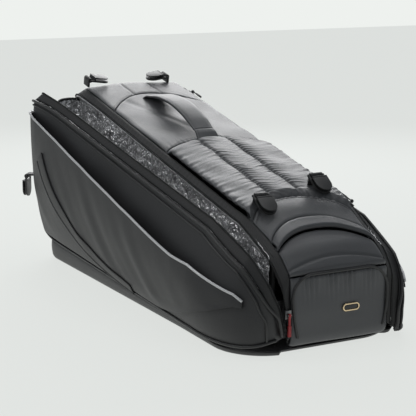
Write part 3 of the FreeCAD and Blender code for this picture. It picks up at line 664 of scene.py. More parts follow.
def make_materials():
    """Every finish on the bag, from the sidebar's colours."""
    paint = bpy.context.scene.bag_colours
    tone = {name: tuple(getattr(paint, name)) + (1,) for name in
            ("top_cloth_lit", "wall_cloth_shaded", "base_cloth", "foil", "reflective", "pull", "brass")}

    def darker(colour, share):
        return tuple(c * share for c in colour[:3]) + (1,)

    # one black coated cloth in two tones: painted lighter on the top and painted shade, near-black, on
    # the walls
    cloth_material("top_cloth_lit", tone["top_cloth_lit"], darker(tone["top_cloth_lit"], 0.72),
                   rough=(0.38, 0.5), sheen=0.08)
    cloth_material("wall_cloth_shaded", tone["wall_cloth_shaded"], darker(tone["wall_cloth_shaded"], 0.7),
                   rough=(0.42, 0.58), crease=9.0)
    cloth_material("base_cloth", tone["base_cloth"], darker(tone["base_cloth"], 0.7),
                   rough=(0.4, 0.55))
    # black lining made darker still: painted shade inside the pocket's mouth
    cloth_material("pocket_lining_shade", grey(0.004), grey(0.002), rough=(0.7, 0.85))
    cloth_material("divider_cloth", grey(0.03), grey(0.02), rough=(0.6, 0.8))
    cloth_material("board_cloth", grey(0.05), grey(0.035), rough=(0.6, 0.8))
    woven_material("zip_tape", grey(0.02), grey(0.009), 0.6)
    woven_material("webbing", grey(0.035), grey(0.008), 0.55, pitch=1700.0, depth=0.0006)
    woven_material("band_webbing", grey(0.03), grey(0.014), 0.5, pitch=1900.0)
    woven_material("piping_cord", grey(0.03), grey(0.012), 0.42, pitch=2600.0, depth=0.0003)
    woven_material("reflective_piping", tone["reflective"], darker(tone["reflective"], 0.75),
                   0.35, pitch=3200.0, metallic=0.35, depth=0.0002)
    woven_material("pull_cord", tone["pull"], darker(tone["pull"], 0.5), 0.5, pitch=2600.0,
                   depth=0.0006)
    woven_material("thread", grey(0.11), grey(0.05), 0.6, pitch=6000.0)
    moulded_material("zip_teeth", grey(0.018), 0.3)
    moulded_material("clip_plastic", grey(0.014), 0.42)
    moulded_material("slider_metal", grey(0.16), 0.34, metallic=0.9)
    moulded_material("brass_rim", tone["brass"], 0.28, metallic=1.0,
                     wear=darker(tone["brass"], 0.7))
    moulded_material("dark_enamel", grey(0.012), 0.25)
    # the foil's dark colour, 0.3 of its own, is painted shade in its creases
    foil_material("thermal_foil", tone["foil"], darker(tone["foil"], 0.3), 0.8)
    # near-white and barely metallic: the lining's edge painted bright as a highlight, with its 0.75
    # grey as painted shade in the creases
    foil_material("lining_edge_highlight", grey(0.92), grey(0.75), 0.2)


# ------------------------------------------------------------------ stitches and zip teeth


ROW_SEED = 4


def row_tree():
    """Small pieces set out along a line: stitches, or a zip's teeth."""
    tree = bpy.data.node_groups.new("set_along_line", "GeometryNodeTree")
    face = tree.interface
    face.new_socket("Line", in_out="INPUT", socket_type="NodeSocketGeometry")
    for label, default in (("Pitch", 0.003), ("Length", 0.002), ("Width", 0.0008),
                           ("Height", 0.0005)):
        socket = face.new_socket(label, in_out="INPUT", socket_type="NodeSocketFloat")
        socket.default_value = default
        socket.min_value = 0.0
    seed = face.new_socket("Seed", in_out="INPUT", socket_type="NodeSocketInt")
    seed.default_value = ROW_SEED
    face.new_socket("Finish", in_out="INPUT", socket_type="NodeSocketMaterial")
    face.new_socket("Row", in_out="OUTPUT", socket_type="NodeSocketGeometry")
    nodes, link = tree.nodes, tree.links.new
    given, result = nodes.new("NodeGroupInput"), nodes.new("NodeGroupOutput")
    curve = nodes.new("GeometryNodeMeshToCurve")
    link(given.outputs["Line"], curve.inputs[0])
    even = nodes.new("GeometryNodeResampleCurve")
    even.mode = "LENGTH"
    link(curve.outputs[0], even.inputs["Curve"])
    link(given.outputs["Pitch"], even.inputs["Length"])
    bead = nodes.new("GeometryNodeMeshIcoSphere")
    bead.inputs["Radius"].default_value = 0.5
    bead.inputs["Subdivisions"].default_value = 2
    tangent = nodes.new("GeometryNodeInputTangent")
    along = nodes.new("FunctionNodeAlignRotationToVector")
    along.axis = "X"
    link(tangent.outputs[0], along.inputs["Vector"])
    facing = nodes.new("GeometryNodeInputNamedAttribute")
    facing.data_type = "FLOAT_VECTOR"
    facing.inputs["Name"].default_value = "facing"
    flat = nodes.new("FunctionNodeAlignRotationToVector")
    flat.axis, flat.pivot_axis = "Z", "X"
    link(along.outputs[0], flat.inputs["Rotation"])
    link(facing.outputs[0], flat.inputs["Vector"])
    size = nodes.new("ShaderNodeCombineXYZ")
    for letter, label in zip("XYZ", ("Length", "Width", "Height")):
        link(given.outputs[label], size.inputs[letter])
    vary = nodes.new("FunctionNodeRandomValue")
    vary.data_type = "FLOAT_VECTOR"
    vary.inputs["Min"].default_value = (0.92, 0.94, 0.92)
    vary.inputs["Max"].default_value = (1.06, 1.05, 1.06)
    link(given.outputs["Seed"], vary.inputs["Seed"])
    scaled = nodes.new("ShaderNodeVectorMath")
    scaled.operation = "MULTIPLY"
    link(size.outputs[0], scaled.inputs[0])
    link(vary.outputs[0], scaled.inputs[1])
    row = nodes.new("GeometryNodeInstanceOnPoints")
    link(even.outputs[0], row.inputs["Points"])
    link(bead.outputs["Mesh"], row.inputs["Instance"])
    link(flat.outputs[0], row.inputs["Rotation"])
    link(scaled.outputs[0], row.inputs["Scale"])
    real = nodes.new("GeometryNodeRealizeInstances")
    link(row.outputs[0], real.inputs[0])
    finish = nodes.new("GeometryNodeSetMaterial")
    link(real.outputs[0], finish.inputs["Geometry"])
    link(given.outputs["Finish"], finish.inputs["Material"])
    link(finish.outputs[0], result.inputs[0])
    return tree


ROWS = []


def row_along(name, lines, facings, pitch, size, material):
    """One object of small pieces along lines of points, in millimetres."""
    if not ROWS:
        ROWS.append(row_tree())
    mesh = bpy.data.meshes.new(name)
    points = np.concatenate(lines)
    edges, offset = [], 0
    for line in lines:
        edges += [(offset + i, offset + i + 1) for i in range(len(line) - 1)]
        offset += len(line)
    mesh.from_pydata((points * MM).tolist(), edges, [])
    facing = mesh.attributes.new("facing", "FLOAT_VECTOR", "POINT")
    facing.data.foreach_set("vector", np.concatenate(facings).astype(np.float32).ravel())
    thing = in_scene(name, mesh)
    rows = thing.modifiers.new("rows", "NODES")
    rows.node_group = ROWS[0]
    values = {"Pitch": pitch * MM, "Length": size[0] * MM, "Width": size[1] * MM,
              "Height": size[2] * MM, "Finish": material}
    for socket in ROWS[0].interface.items_tree:
        if socket.in_out == "INPUT" and socket.name in values:
            rows[socket.identifier] = values[socket.name]
    settled(thing)
    smoothed(thing.data)
    return thing


# ------------------------------------------------------------------ the middle section

SEAMS = {  # place on the centre line, how far its ends run to the near end, and the curve's power
    "bay_far": (-275.0, 66.0, 2.0), "bay_near": (-32.0, 32.0, 2.0), "quilt": (230.0, 50.0, 2.0),
    "hood_high": (288.0, 38.0, 2.4), "hood_low": (314.0, 31.0, 2.4),
}
QUILT_Y = 28.0
SECOND_NOSE_X = 364.0
LIP_Z, FLOOR_Z = 116.0, 8.0
DOME = 4.5
BADGE_CLEAR, BADGE_FADE = 20.0, 50.0


def seam_s(name):
    """A crosswise seam's length along the profile, across the top."""
    x0, run, power = SEAMS[name]
    return lambda y: s_at_x(x0 + run * (np.abs(y) / TOP_HALF) ** power)


def level_s(s):
    """A straight crosswise seam."""
    return lambda y: s + 0 * np.asarray(y, float)


def top_point(s, v, up=0.0):
    """A point on the middle section: a length along its profile and a share of its half width."""
    x, z, nx, nz = on_profile(s)
    y = v * half_at(x)
    return np.stack([x + nx * up, y + 0 * x, z + nz * up], -1)


def top_normal(s):
    """The outward direction on the middle section."""
    _, _, nx, nz = on_profile(s)
    return np.stack([nx, 0 * nx, nz], -1)


def dome(y, half):
    """How far the top swells between its two sides."""
    return DOME * (1 - (y / half) ** 2)


def above_badge(z):
    """0 round the flat badge, up to 1 well over it."""
    return smooth((z - BADGE_Z - BADGE_CLEAR) / BADGE_FADE)


def patch(low, high, rows, columns, lift, roll=3.0):
    """A sewn panel of the middle section between two crosswise seams."""
    u, v = clustered(rows)[:, None], 2 * clustered(columns)[None, :] - 1
    s0, s1 = low(v * TOP_HALF), high(v * TOP_HALF)
    s = s0 + (s1 - s0) * u
    x, z, nx, nz = on_profile(s)
    half = half_at(x)
    y = v * half
    flat = above_badge(z)
    up = dome(y, half) * (0.1 + 0.9 * flat) + rolled(s - s0, 7, roll) + rolled(s1 - s, 7, roll)
    up = up + rolled(half - np.abs(y), 9, 4) + lift(s, x, y, s - s0, s1 - s)
    return np.stack([x + nx * up, y, z + nz * up], -1)


def lengthwise_seams(y, depth, width):
    """The dips of the two seams that run along the top."""
    return depth * (groove(y - QUILT_Y, width) + groove(y + QUILT_Y, width))


# each panel's lift is from its length, x, y and its distances from its two crosswise seams


def yoke_lift(s, x, y, d0, d1):
    return lengthwise_seams(y, 1.8, 2.2) + 0.7 * rumple(s, y, 120, 3) - 1.2 * (d1 < 2)


def bay_lift(s, x, y, d0, d1):
    crease = 1.1 * np.exp(-((y + 40 - 0.35 * (x + 190)) / 9) ** 2)
    return 0.9 * rumple(s, y, 110, 11) - crease + 0.5 * np.exp(-d1 / 9) * ripple(y, 15, 31)


def quilt_lift(s, x, y, d0, d1):
    shape = bpy.context.scene.bag_shape
    depth = shape.pucker_depth / MM
    rise = shape.quilt_rise / MM
    ends = smooth(np.minimum(d0, d1) / 16)
    plump = rise * ends * (1 - 0.25 * np.exp(-(np.abs(np.abs(y) - QUILT_Y) / 12) ** 2))
    total = plump + lengthwise_seams(y, 3.2, 3.4)
    for sign, seed in ((-1, 51), (1, 77)):
        total = total + depth * pucker(sign * (y - sign * QUILT_Y), x, seed)
    edge = half_at(x) - np.abs(y)
    total = total + 0.7 * depth * np.exp(-edge / 16) * ripple(x + 0.3 * y, 17, 91)
    total = total + 0.6 * depth * np.exp(-d1 / 8) * ripple(y, 12, 23)
    return total + 0.8 * rumple(x, y, 70, 29)


def near_yoke_lift(s, x, y, d0, d1):
    return (0.9 * rumple(s, y, 90, 37) + 0.7 * np.exp(-d0 / 9) * ripple(y, 11, 41)
            - 0.8 * np.exp(-((d0 - 9) / 2.0) ** 2))


def hood_lift(s, x, y, d0, d1):
    share = np.clip(d0 / np.maximum(d0 + d1, 1e-6), 0, 1)
    return 1.0 + 3.5 * share ** 0.8 * smooth((1.04 - share) / 0.2) + 0.4 * rumple(s, y, 60, 43)


def nose_lift(s, x, y, d0, d1):
    near = s - s_at_x(SECOND_NOSE_X + 11 * (y / NOSE_HALF) ** 2)
    return (-4.5 * np.exp(-d0 / 14) - 2.2 * np.exp(-(near / 2.4) ** 2)
            + 1.6 * smooth((near + 1) / 5) + 0.6 * rumple(s, y, 80, 47))


def end_lift(s, x, y, d0, d1):
    """Short pleats gathered into the lip's seam, in groups."""
    groups = sum(np.exp(-((y - middle) / 13) ** 4) for middle in (-52, -14, 14, 52))
    pleats = 1.5 * groups * np.exp(-(d0 / 24) ** 2) * np.sin(2 * math.pi * y / 8.5)
    z = on_profile(s)[1]
    badge = np.exp(-((y - BADGE_Y) / 22) ** 4 - ((z - BADGE_Z) / 14) ** 4)
    loose = 0.7 * rumple(s, y, 100, 53) + 0.4 * np.exp(-d0 / 12) * ripple(y, 9, 57)
    return pleats + loose * (1 - badge) - 0.6 * badge


def far_end_lift(s, x, y, d0, d1):
    return 1.0 * rumple(s, y, 120, 59)


def make_top():
    """The panels of the top and of both ends."""
    far_foot, yoke_seam = s_at_far_z(FLOOR_Z), s_at_far_z(YOKE_Z)
    lip, near_foot = s_at_near_z(LIP_Z), s_at_near_z(FLOOR_Z)
    cloth = MATERIALS["top_cloth_lit"]
    panels = [
        ("yoke_cloth", level_s(yoke_seam + 1), seam_s("bay_far"), 60, 120, yoke_lift,
         "far_yoke"),
        ("bay_cloth", seam_s("bay_far"), seam_s("bay_near"), 110, 120, bay_lift,
         "handle_bay_panel"),
        ("near_yoke_cloth", seam_s("quilt"), seam_s("hood_high"), 50, 130, near_yoke_lift,
         "near_yoke"),
        ("hood_cloth", seam_s("hood_high"), seam_s("hood_low"), 22, 100, hood_lift,
         "nose_hood"),
        ("nose_cloth", seam_s("hood_low"), level_s(lip - 1), 44, 110, nose_lift, "nose_panel"),
        ("end_cloth", level_s(lip + 1), level_s(near_foot), 60, 200, end_lift,
         "nose_end_panel"),
        ("far_end_cloth", level_s(far_foot), level_s(yoke_seam - 1), 60, 80, far_end_lift,
         "far_end_panel"),
    ]
    for name, low, high, rows, columns, lift, node in panels:
        grid = patch(low, high, rows, columns, lift)
        hint = top_normal((low(0) + high(0)) / 2)
        piece = build(name, [shell(grid, SKIN - 1, hint)], cloth)
        finished(piece, "bag_body", "top_fabric", node)


def make_quilt():
    """The padded panel between the handle and the nose, with its gathered channels."""
    grid = patch(seam_s("bay_near"), seam_s("quilt"), 340, 190, quilt_lift, roll=4.0)
    piece = build("quilt_cloth", [shell(grid, SKIN + 3, (0.2, 0, 1))], MATERIALS["top_cloth_lit"])
    finished(piece, "bag_body", "top_fabric", "quilted_pad")


def seam_row(low, offset, count=90, reach=0.97, up=3.0):
    """A line beside a crosswise seam, with its outward directions."""
    v = np.linspace(-reach, reach, count)
    s = low(v * TOP_HALF) + offset
    x = on_profile(s)[0]
    y = v * half_at(x)
    return top_point(s, v, dome(y, half_at(x)) + up), top_normal(s)


def make_stitches():
    """The topstitching along the seams of the top."""
    shape = bpy.context.scene.bag_shape
    rows = [seam_row(seam_s("quilt"), 9, up=0.35), seam_row(seam_s("bay_near"), -9, up=0.3),
            seam_row(seam_s("bay_far"), -8, up=0.4),
            seam_row(level_s(s_at_near_z(LIP_Z)), -7, up=1.9)]
    x = np.linspace(-22, 226, 160)
    for sign in (-1, 1):
        y = sign * (QUILT_Y + 0 * x)
        s = s_at_x(x)
        ends = smooth(np.minimum(x + 30, 230 - x) / 16)
        up = dome(y, half_at(x)) + 0.75 * shape.quilt_rise / MM * ends - 3.0
        rows.append((top_point(s, y / half_at(x), up), top_normal(s)))
    lines, facings = zip(*rows)
    piece = row_along("top_stitches", lines, facings, shape.stitch_pitch / MM, (2.6, 0.8, 0.6),
                      MATERIALS["thread"])
    finished(piece, "bag_body", "top_fabric")


def make_end_piping():
    """The raised bead that outlines the end panel under the lip."""
    lip, foot = s_at_near_z(LIP_Z), s_at_near_z(24)
    corner, v_side = 34.0, 0.985
    down = [(foot + (lip + corner - foot) * t, 0.1 * (1 - t) ** 2) for t in np.linspace(0, 1, 30)]
    turn = [(lip + corner * (1 - math.sin(a)), corner / NOSE_HALF * (1 - math.cos(a)))
            for a in np.linspace(0.1, math.pi / 2, 14)]
    half = [(s, v_side - inward) for s, inward in down + turn]
    across = [(lip, v) for v in np.linspace(-half[-1][1], half[-1][1], 50)[1:-1]]
    path = [(s, -v) for s, v in half] + across + half[::-1]
    s, v = np.array(path).T
    z = on_profile(s)[1]
    up = 1.0 + dome(v, 1) * above_badge(z) * smooth((0.97 - np.abs(v)) / 0.2)
    piece = build("end_piping", [tube(top_point(s, v, up), 2.3, 10)], MATERIALS["piping_cord"])
    finished(piece, "bag_body", "piping", "end_panel_piping")


# ------------------------------------------------------------------ the side walls

FAR_ARC = FAR_TURN * math.pi / 2
STRAIGHT = 2 * HALF_LENGTH - FAR_TURN - NEAR_LONG
FAR_ROUND, NEAR_ROUND = 22.0, 40.0
# the rim falls away over its far end, and a wall's swell fades towards both ends
RIM_FALL, RIM_FALL_X, RIM_FALL_LENGTH = 22.0, -345.0, 40.0
FADE_X = 250.0
# the pocket's mouth falls from the rim to a soft knee and rises again; its foot ends in a curve
MOUTH_DROP, MOUTH_FALL, MOUTH_RISE, MOUTH_SOFT = 20.0, 0.0452, 0.179, 30.0
POCKET_FOOT_X, POCKET_FOOT_SHARE, POCKET_TIP_SHARE = 120.0, 0.06, 0.12
POCKET_SKIN, POCKET_OPENING, POCKET_FADE = 2.5, 12.0, 150.0
# the band over the pocket, along x, and the fall of its height share
BAND_FAR, BAND_NEAR, BAND_START = -292.0, 52.0, -290.0
BAND_SHARE, BAND_CURVE, BAND_HALF = 0.68, 150.0, 14.0


def outline_line():
    """A wall's plan outline from its far end edge: length, point and outward direction."""
    points, outs = [], []
    for angle in np.linspace(math.pi, math.pi / 2, 40)[:-1]:
        out = np.array((math.cos(angle), math.sin(angle)))
        points.append(np.array((-HALF_LENGTH + FAR_TURN, HALF_WIDTH - FAR_TURN)) + FAR_TURN * out)
        outs.append(out)
    for x in np.linspace(-HALF_LENGTH + FAR_TURN, HALF_LENGTH - NEAR_LONG, 30)[:-1]:
        points.append(np.array((x, HALF_WIDTH)))
        outs.append(np.array((0.0, 1.0)))
    for angle in np.linspace(math.pi / 2, 0, 60):
        cos, sin = math.cos(angle), math.sin(angle)
        points.append(np.array((HALF_LENGTH - NEAR_LONG + NEAR_LONG * cos,
                                HALF_WIDTH - NEAR_SHORT + NEAR_SHORT * sin)))
        outs.append(unit(np.array((cos / NEAR_LONG, sin / NEAR_SHORT))))
    points, outs = np.array(points), np.array(outs)
    steps = np.linalg.norm(np.diff(points, axis=0), axis=1)
    return np.concatenate([[0], np.cumsum(steps)]), points, outs


OUTLINE_A, OUTLINE, OUTLINE_OUT = outline_line()
WHOLE = float(OUTLINE_A[-1])


def outline(a):
    """Plan point and outward direction at a length round a wall from its far end edge."""
    a = np.asarray(a, float)
    return tuple(np.interp(a, OUTLINE_A, line) for line in
                 (OUTLINE[:, 0], OUTLINE[:, 1], OUTLINE_OUT[:, 0], OUTLINE_OUT[:, 1]))


def a_at_x(x):
    """The length round a wall at x, on its long side."""
    return np.interp(x, OUTLINE[:, 0], OUTLINE_A)


def rim_height(x):
    """Height of a wall's edge along its long side."""
    fall = RIM_FALL * np.maximum(0, (RIM_FALL_X - x) / RIM_FALL_LENGTH) ** 2
    return top_height(x) - SHOULDER_DROP - fall


def end_share(x):
    """0 along a wall's middle, up to 1 at its ends."""
    return np.maximum(0, (np.abs(x) - FADE_X) / (HALF_LENGTH - FADE_X)) ** 2


def corner_drop(distance, radius):
    """How far a rounded corner is under the edge at a distance from its end."""
    d = np.clip(radius - distance, 0, radius)
    return radius - np.sqrt(radius ** 2 - d ** 2)


def wall_top(a):
    """Height of the wall's edge, with its two corners rounded off."""
    x = outline(a)[0]
    return rim_height(x) - corner_drop(a, FAR_ROUND) - corner_drop(WHOLE - a, NEAR_ROUND)


def wall_point(a, z, out, side):
    """A point off a closed wall's skin at a length round it and a height."""
    x, y, out_x, out_y = outline(a)
    low = seam_height(x)
    share = np.clip((z - low) / (rim_height(x) - low), 0, 1)
    fade = end_share(x)
    swell = BELLY * (1 - 0.75 * fade) * np.sin(math.pi * share ** 0.75)
    lean = SHOULDER_INSET * (1 - fade) * share ** 2.5
    off = swell - lean + out
    foot = (SPREAD if side < 0 else 0) * (1 - share) * out_y
    return np.stack([x + out_x * off, side * (y + out_y * off + foot), z + 0 * x], -1)


def opened(points):
    """The open wall's place: turned outwards about its seam with the base."""
    start = np.array((-HALF_LENGTH, -HALF_WIDTH - SPREAD, seam_height(-HALF_LENGTH)))
    end = np.array((HALF_LENGTH, -HALF_WIDTH - SPREAD, seam_height(HALF_LENGTH)))
    turn = np.array(Matrix.Rotation(math.radians(OPEN_ANGLE), 3, Vector(end - start)))
    pivot = (start + end) / 2
    return (points - pivot) @ turn.T + pivot


def laid(part, name):
    """A wall's part or points where that wall stands at rest."""
    if name == "right":
        return part
    if isinstance(part, tuple):
        return opened(part[0]), part[1]
    return opened(part)


def wall_grid(side, a, low, high, out, rows):
    """A grid on a wall between two heights along it."""
    a = a[:, None]
    t = clustered(rows)[None, :]
    z = low(a) + (high(a) - low(a)) * t
    return wall_point(a + 0 * t, z, out(a, z), side)


def softness(a, z):
    """The slack of the wall's cloth."""
    pull = np.sin(2 * math.pi * (a * 0.0021 + z * 0.004))
    return 1.6 * rumple(a, z, 150, 5) + 1.1 * pull


def pocket_mouth(x):
    """Height of the pocket's mouth, which falls from the rim and then turns back towards it."""
    turn = MOUTH_SOFT * np.log1p(np.exp((x - POCKET_KNEE) / MOUTH_SOFT))
    return rim_height(x) - MOUTH_DROP - MOUTH_FALL * (x + HALF_LENGTH) + MOUTH_RISE * turn


def pocket_foot(x):
    """Height of the pocket's lower edge."""
    lift = np.maximum(0, (x - POCKET_FOOT_X) / (POCKET_TIP - POCKET_FOOT_X)) ** 2
    low = seam_height(x)
    span = rim_height(x) - low
    mouth = (pocket_mouth(x) - low) / span
    return low + span * (POCKET_FOOT_SHARE + (mouth - POCKET_TIP_SHARE) * lift)


def pocket_off(a, z):
    """How far the pocket's outer face stands off the wall."""
    x = outline(a)[0]
    rise = np.clip((z - pocket_foot(x)) / (pocket_mouth(x) - pocket_foot(x)), 0, 1.2)
    ends = np.clip((POCKET_TIP - x) / POCKET_FADE, 0, 1) * (1 - 0.6 * end_share(x))
    far = smooth((a - 20) / 70)
    sag = bpy.context.scene.bag_shape.pocket_sag / MM
    calm = 1 - 0.8 * smooth(rise * 2 - 1)
    creases = (0.8 * rumple(a, z, 110, 17) + 0.6 * ripple(a + 0.8 * z, 70, 19)) * calm
    return 2 + POCKET_SKIN + (POCKET_OPENING + sag * np.sin(math.pi * np.clip((x + 380) / 730, 0, 1))) \
        * rise ** 1.4 * ends * far + creases * smooth(rise * 4) * far


def make_wall(name):
    """One compartment's side: its outer cloth, pocket, band and edge beads."""
    side = SIDES[name]
    body = name + "_wall"
    a = np.concatenate([np.linspace(0, FAR_ARC, 30)[:-1],
                        np.linspace(FAR_ARC, FAR_ARC + STRAIGHT, 190)[:-1],
                        np.linspace(FAR_ARC + STRAIGHT, WHOLE, 34)])
    low = lambda a: seam_height(outline(a)[0]) + 0.5
    edge = lambda a, z: rolled(wall_top(a) - z, 6, 2.5) + rolled(a, 6, 2) \
        + rolled(WHOLE - a, 6, 2) + softness(a, z) * smooth((wall_top(a) - z) / 30) \
        * smooth(np.minimum(a, WHOLE - a) / 40) * smooth((z - low(a)) / 30)
    grid = wall_grid(side, a, low, wall_top, edge, 70)
    part = laid(shell(grid, WALL_SKIN, (0, side, 0.1)), name)
    finished(build(name + "_wall_cloth_shaded", [part], MATERIALS["wall_cloth_shaded"]), body,
             "shell_fabric", name + "_wall")

    pocket_a = np.linspace(FAR_TURN * math.pi / 6, a_at_x(POCKET_TIP - 6), 220)
    mouth = lambda a: pocket_mouth(outline(a)[0])
    foot = lambda a: np.minimum(pocket_foot(outline(a)[0]), mouth(a) - 4)
    grid = wall_grid(side, pocket_a, foot, mouth, pocket_off, 60)
    part = laid(shell(grid, POCKET_SKIN, (0, side, 0.1)), name)
    finished(build(name + "_pocket_cloth", [part], MATERIALS["wall_cloth_shaded"]), body,
             "shell_fabric", name + "_pocket")

    z = mouth(pocket_a)
    line = wall_point(pocket_a, z + 0.6, pocket_off(pocket_a, z) + 0.6, side)
    finished(build(name + "_pocket_bead", [laid(tube(line, 2.0, 10), name)],
                   MATERIALS["reflective_piping"]), body, "reflective_piping",
             name + "_pocket_piping")

    parts = []
    for inward, radius in ((0.5, 2.5), (8.0, 1.9)):
        path_a, path_z = edge_path(inward)
        parts.append(laid(tube(wall_point(path_a, path_z, radius * 0.7, side), radius, 10),
                          name))
    path_a, path_z = foot_path()
    parts.append(laid(tube(wall_point(path_a, path_z, 1.6, side), 2.4, 10), name))
    finished(build(name + "_edge_beads", parts, MATERIALS["piping_cord"]), body, "piping",
             name + "_wall_piping")
    make_band(name, side, body)
    make_wall_lining(name, side, body)


def edge_path(inward):
    """The wall's free edge from the far end's foot over both rounded corners, moved inwards."""
    a = np.concatenate([np.geomspace(0.02, 30, 24), np.linspace(33, WHOLE - 36, 200),
                        WHOLE - np.geomspace(0.02, 33, 30)[::-1]])
    z = wall_top(a)
    far_low, near_low = SKIRT_FAR + 6, SKIRT_NEAR + 6
    path = np.concatenate([
        np.stack([np.full(30, 0.0), np.linspace(far_low, z[0] - 1, 30)], -1),
        np.stack([a, z], -1),
        np.stack([np.full(16, WHOLE), np.linspace(z[-1] - 1, near_low, 16)], -1)])
    length = np.concatenate([[0], np.cumsum(np.linalg.norm(np.diff(path, axis=0), axis=1))])
    even = np.linspace(0, length[-1], 330)
    path = np.stack([np.interp(even, length, path[:, k]) for k in (0, 1)], -1)
    along = unit(np.gradient(path, axis=0))
    path = path + inward * np.stack([along[:, 1], -along[:, 0]], -1)
    return path[:, 0], path[:, 1]


def foot_path():
    """The bead along the wall's foot, which turns up round the far corner."""
    near = np.linspace(WHOLE - 3, FAR_ARC + 26, 120)
    z = seam_height(outline(near)[0]) + 4
    turn = np.array([(FAR_ARC + 6, 50), (FAR_ARC - 16, 60), (FAR_ARC - 32, 80),
                     (FAR_ARC - 40, 110), (FAR_ARC - 42, 160), (FAR_ARC - 40, 215),
                     (FAR_ARC - 36, 250)])
    a = np.concatenate([near, turn[:, 0]])
    z = np.concatenate([z, turn[:, 1]])
    length = np.concatenate([[0], np.cumsum(np.hypot(np.diff(a), np.diff(z)))])
    even = np.linspace(0, length[-1], 240)
    a, z = np.interp(even, length, a), np.interp(even, length, z)
    kernel = np.ones(11) / 11
    soft = [np.convolve(np.pad(v, 5, mode="reflect", reflect_type="odd"), kernel, "valid")
            for v in (a, z)]
    return soft[0], soft[1]


def make_band(name, side, body):
    """The flat webbing that curves down across the pocket, with its bound edges."""
    x = np.linspace(BAND_FAR, BAND_NEAR, 90)
    low = seam_height(x)
    span = rim_height(x) - low
    share = BAND_SHARE * np.exp((BAND_START - x) / BAND_CURVE)
    z = low + span * share
    way = unit(np.stack([span * share / BAND_CURVE, np.ones_like(x)], -1))
    half = BAND_HALF * (1 - 0.05 * (x - BAND_START) / 42.5)
    columns = np.linspace(-1, 1, 9)
    spot_x = x[:, None] + way[:, :1] * half[:, None] * columns
    spot_z = np.maximum(z[:, None] + way[:, 1:] * half[:, None] * columns, low[:, None] + 5)
    a = a_at_x(spot_x)
    out = pocket_off(a, spot_z) + 1.6 + 0.5 * np.cos(columns * 1.5)
    grid = wall_point(a, spot_z, out, side)
    parts = [shell(grid, 1.4, (0, side, 0.1))]
    for column in (0, -1):
        parts.append(tube(grid[:, column], 1.3, 8))
    parts = [laid(part, name) for part in parts]
    finished(build(name + "_band", parts, MATERIALS["band_webbing"]), body, "webbing",
             name + "_pocket_band")


def make_wall_lining(name, side, body):
    """The foil inside a wall."""
    a = np.linspace(8, WHOLE - 8, 250)
    low = lambda a: seam_height(outline(a)[0]) + 6
    high = lambda a: wall_top(a) - 5
    def out(a, z):
        return -WALL_SKIN - 2.6 + 1.5 * (crinkle(a, z, 30, 61) - 0.5) \
            + 0.8 * (crinkle(a, z, 12, 63) - 0.5)
    grid = wall_grid(side, a, low, high, out, 80)
    part = laid(shell(grid, 0.8, (0, -side, 0.1)), name)
    piece = build(name + "_wall_lining", [part], MATERIALS["thermal_foil"])
    finished(piece, body, "thermal_foil", name + "_wall_foil")


# the foil on the middle section's side: its x range, its y, and its fold on to the floor
FOIL_FAR, FOIL_NEAR, FOIL_Y = -371.0, 343.0, 99.5
FOIL_FOLD, FOIL_FLOOR = 15.0, 9.0


def tray_half(x, side):
    """Half width of the base at x, inside its rounded corners."""
    far, near = FOOT_ROUNDS[side]
    half = HALF_WIDTH + (SPREAD if side < 0 else 0)
    past_far = np.clip(-HALF_LENGTH + far - x, 0, far)
    past_near = np.clip(x - HALF_LENGTH + near, 0, near)
    return (half - far + np.sqrt(far ** 2 - past_far ** 2)
            - near + np.sqrt(near ** 2 - past_near ** 2))


def make_divider_lining(name):
    """The foil over the middle section's side and the compartment's floor."""
    side = SIDES[name]
    x = np.linspace(FOIL_FAR, FOIL_NEAR, 300)
    top = on_profile(s_at_x(x))[1] - 12
    top = top - 30 * np.maximum(0, (-x - 352) / 20) ** 2
    rows = []
    for t in np.linspace(0, 1, 118):
        if t < 0.8:
            share = t / 0.8
            rows.append((0 * x + FOIL_Y, top + (FOIL_FLOOR + FOIL_FOLD - top) * share))
        elif t < 0.88:
            angle = (t - 0.8) / 0.08 * math.pi / 2
            rows.append((0 * x + FOIL_Y + FOIL_FOLD * (1 - math.cos(angle)),
                         FOIL_FLOOR + FOIL_FOLD * (1 - math.sin(angle)) + 0 * x))
        else:
            share = (t - 0.88) / 0.12
            inner, outer = FOIL_Y + FOIL_FOLD, tray_half(x, side) - 7.5
            rows.append((inner + (outer - inner) * share, FOIL_FLOOR + 0 * x))
    grid = np.stack([np.stack([x, side * y, z], -1) for y, z in rows], 1)
    u, v = grid[..., 0], grid[..., 2] - grid[..., 1] * side
    depth = bpy.context.scene.bag_shape.foil_crinkle / MM
    slack = smooth((top[:, None] - grid[..., 2]) / 40) * smooth((x[:, None] - FOIL_FAR) / 30)
    away = 3.0 * slack * (1 + rumple(u, v, 130, 71)) + depth * (
        crinkle(u, v, 34, 73) + 0.45 * crinkle(u, v, 15, 75))
    normals, _ = surface_normals(grid, (0, side, 0.2))
    grid = grid + normals * away[..., None]
    piece = build(name + "_foil_lining", [shell(grid, 0.9, (0, side, 0.2))],
                  MATERIALS["thermal_foil"])
    finished(piece, "bag_body", "thermal_foil", name + "_divider_foil")


def make_divider(name):
    """A padded partition behind the foil."""
    side = SIDES[name]
    x = np.linspace(-374, 344, 120)
    top = on_profile(s_at_x(x))[1] - 9
    bottom = 7.0 + 18 * np.maximum(0, (-x - 355) / 20) ** 2
    t = clustered(40)[None, :]
    z = bottom[:, None] + (top - bottom)[:, None] * t
    xx = x[:, None] + 0 * t
    quilt = 0.8 * (groove(np.mod(xx + z, 60) - 30, 3) + groove(np.mod(xx - z, 60) - 30, 3))
    grid = np.stack([xx, side * (TOP_HALF - 1.2 + quilt), z], -1)
    finished(build(name + "_padded_divider", [shell(grid, 5, (0, side, 0))],
                   MATERIALS["divider_cloth"]), "bag_body", "divider_pad", name + "_divider")


# ------------------------------------------------------------------ the zips


TOOTH = (1.5, 3.0, 2.2)
# the stretch of a zip beside which the lining's edge shows, painted near-white as a highlight, as
# points along it
OPENING = slice(30, 440)


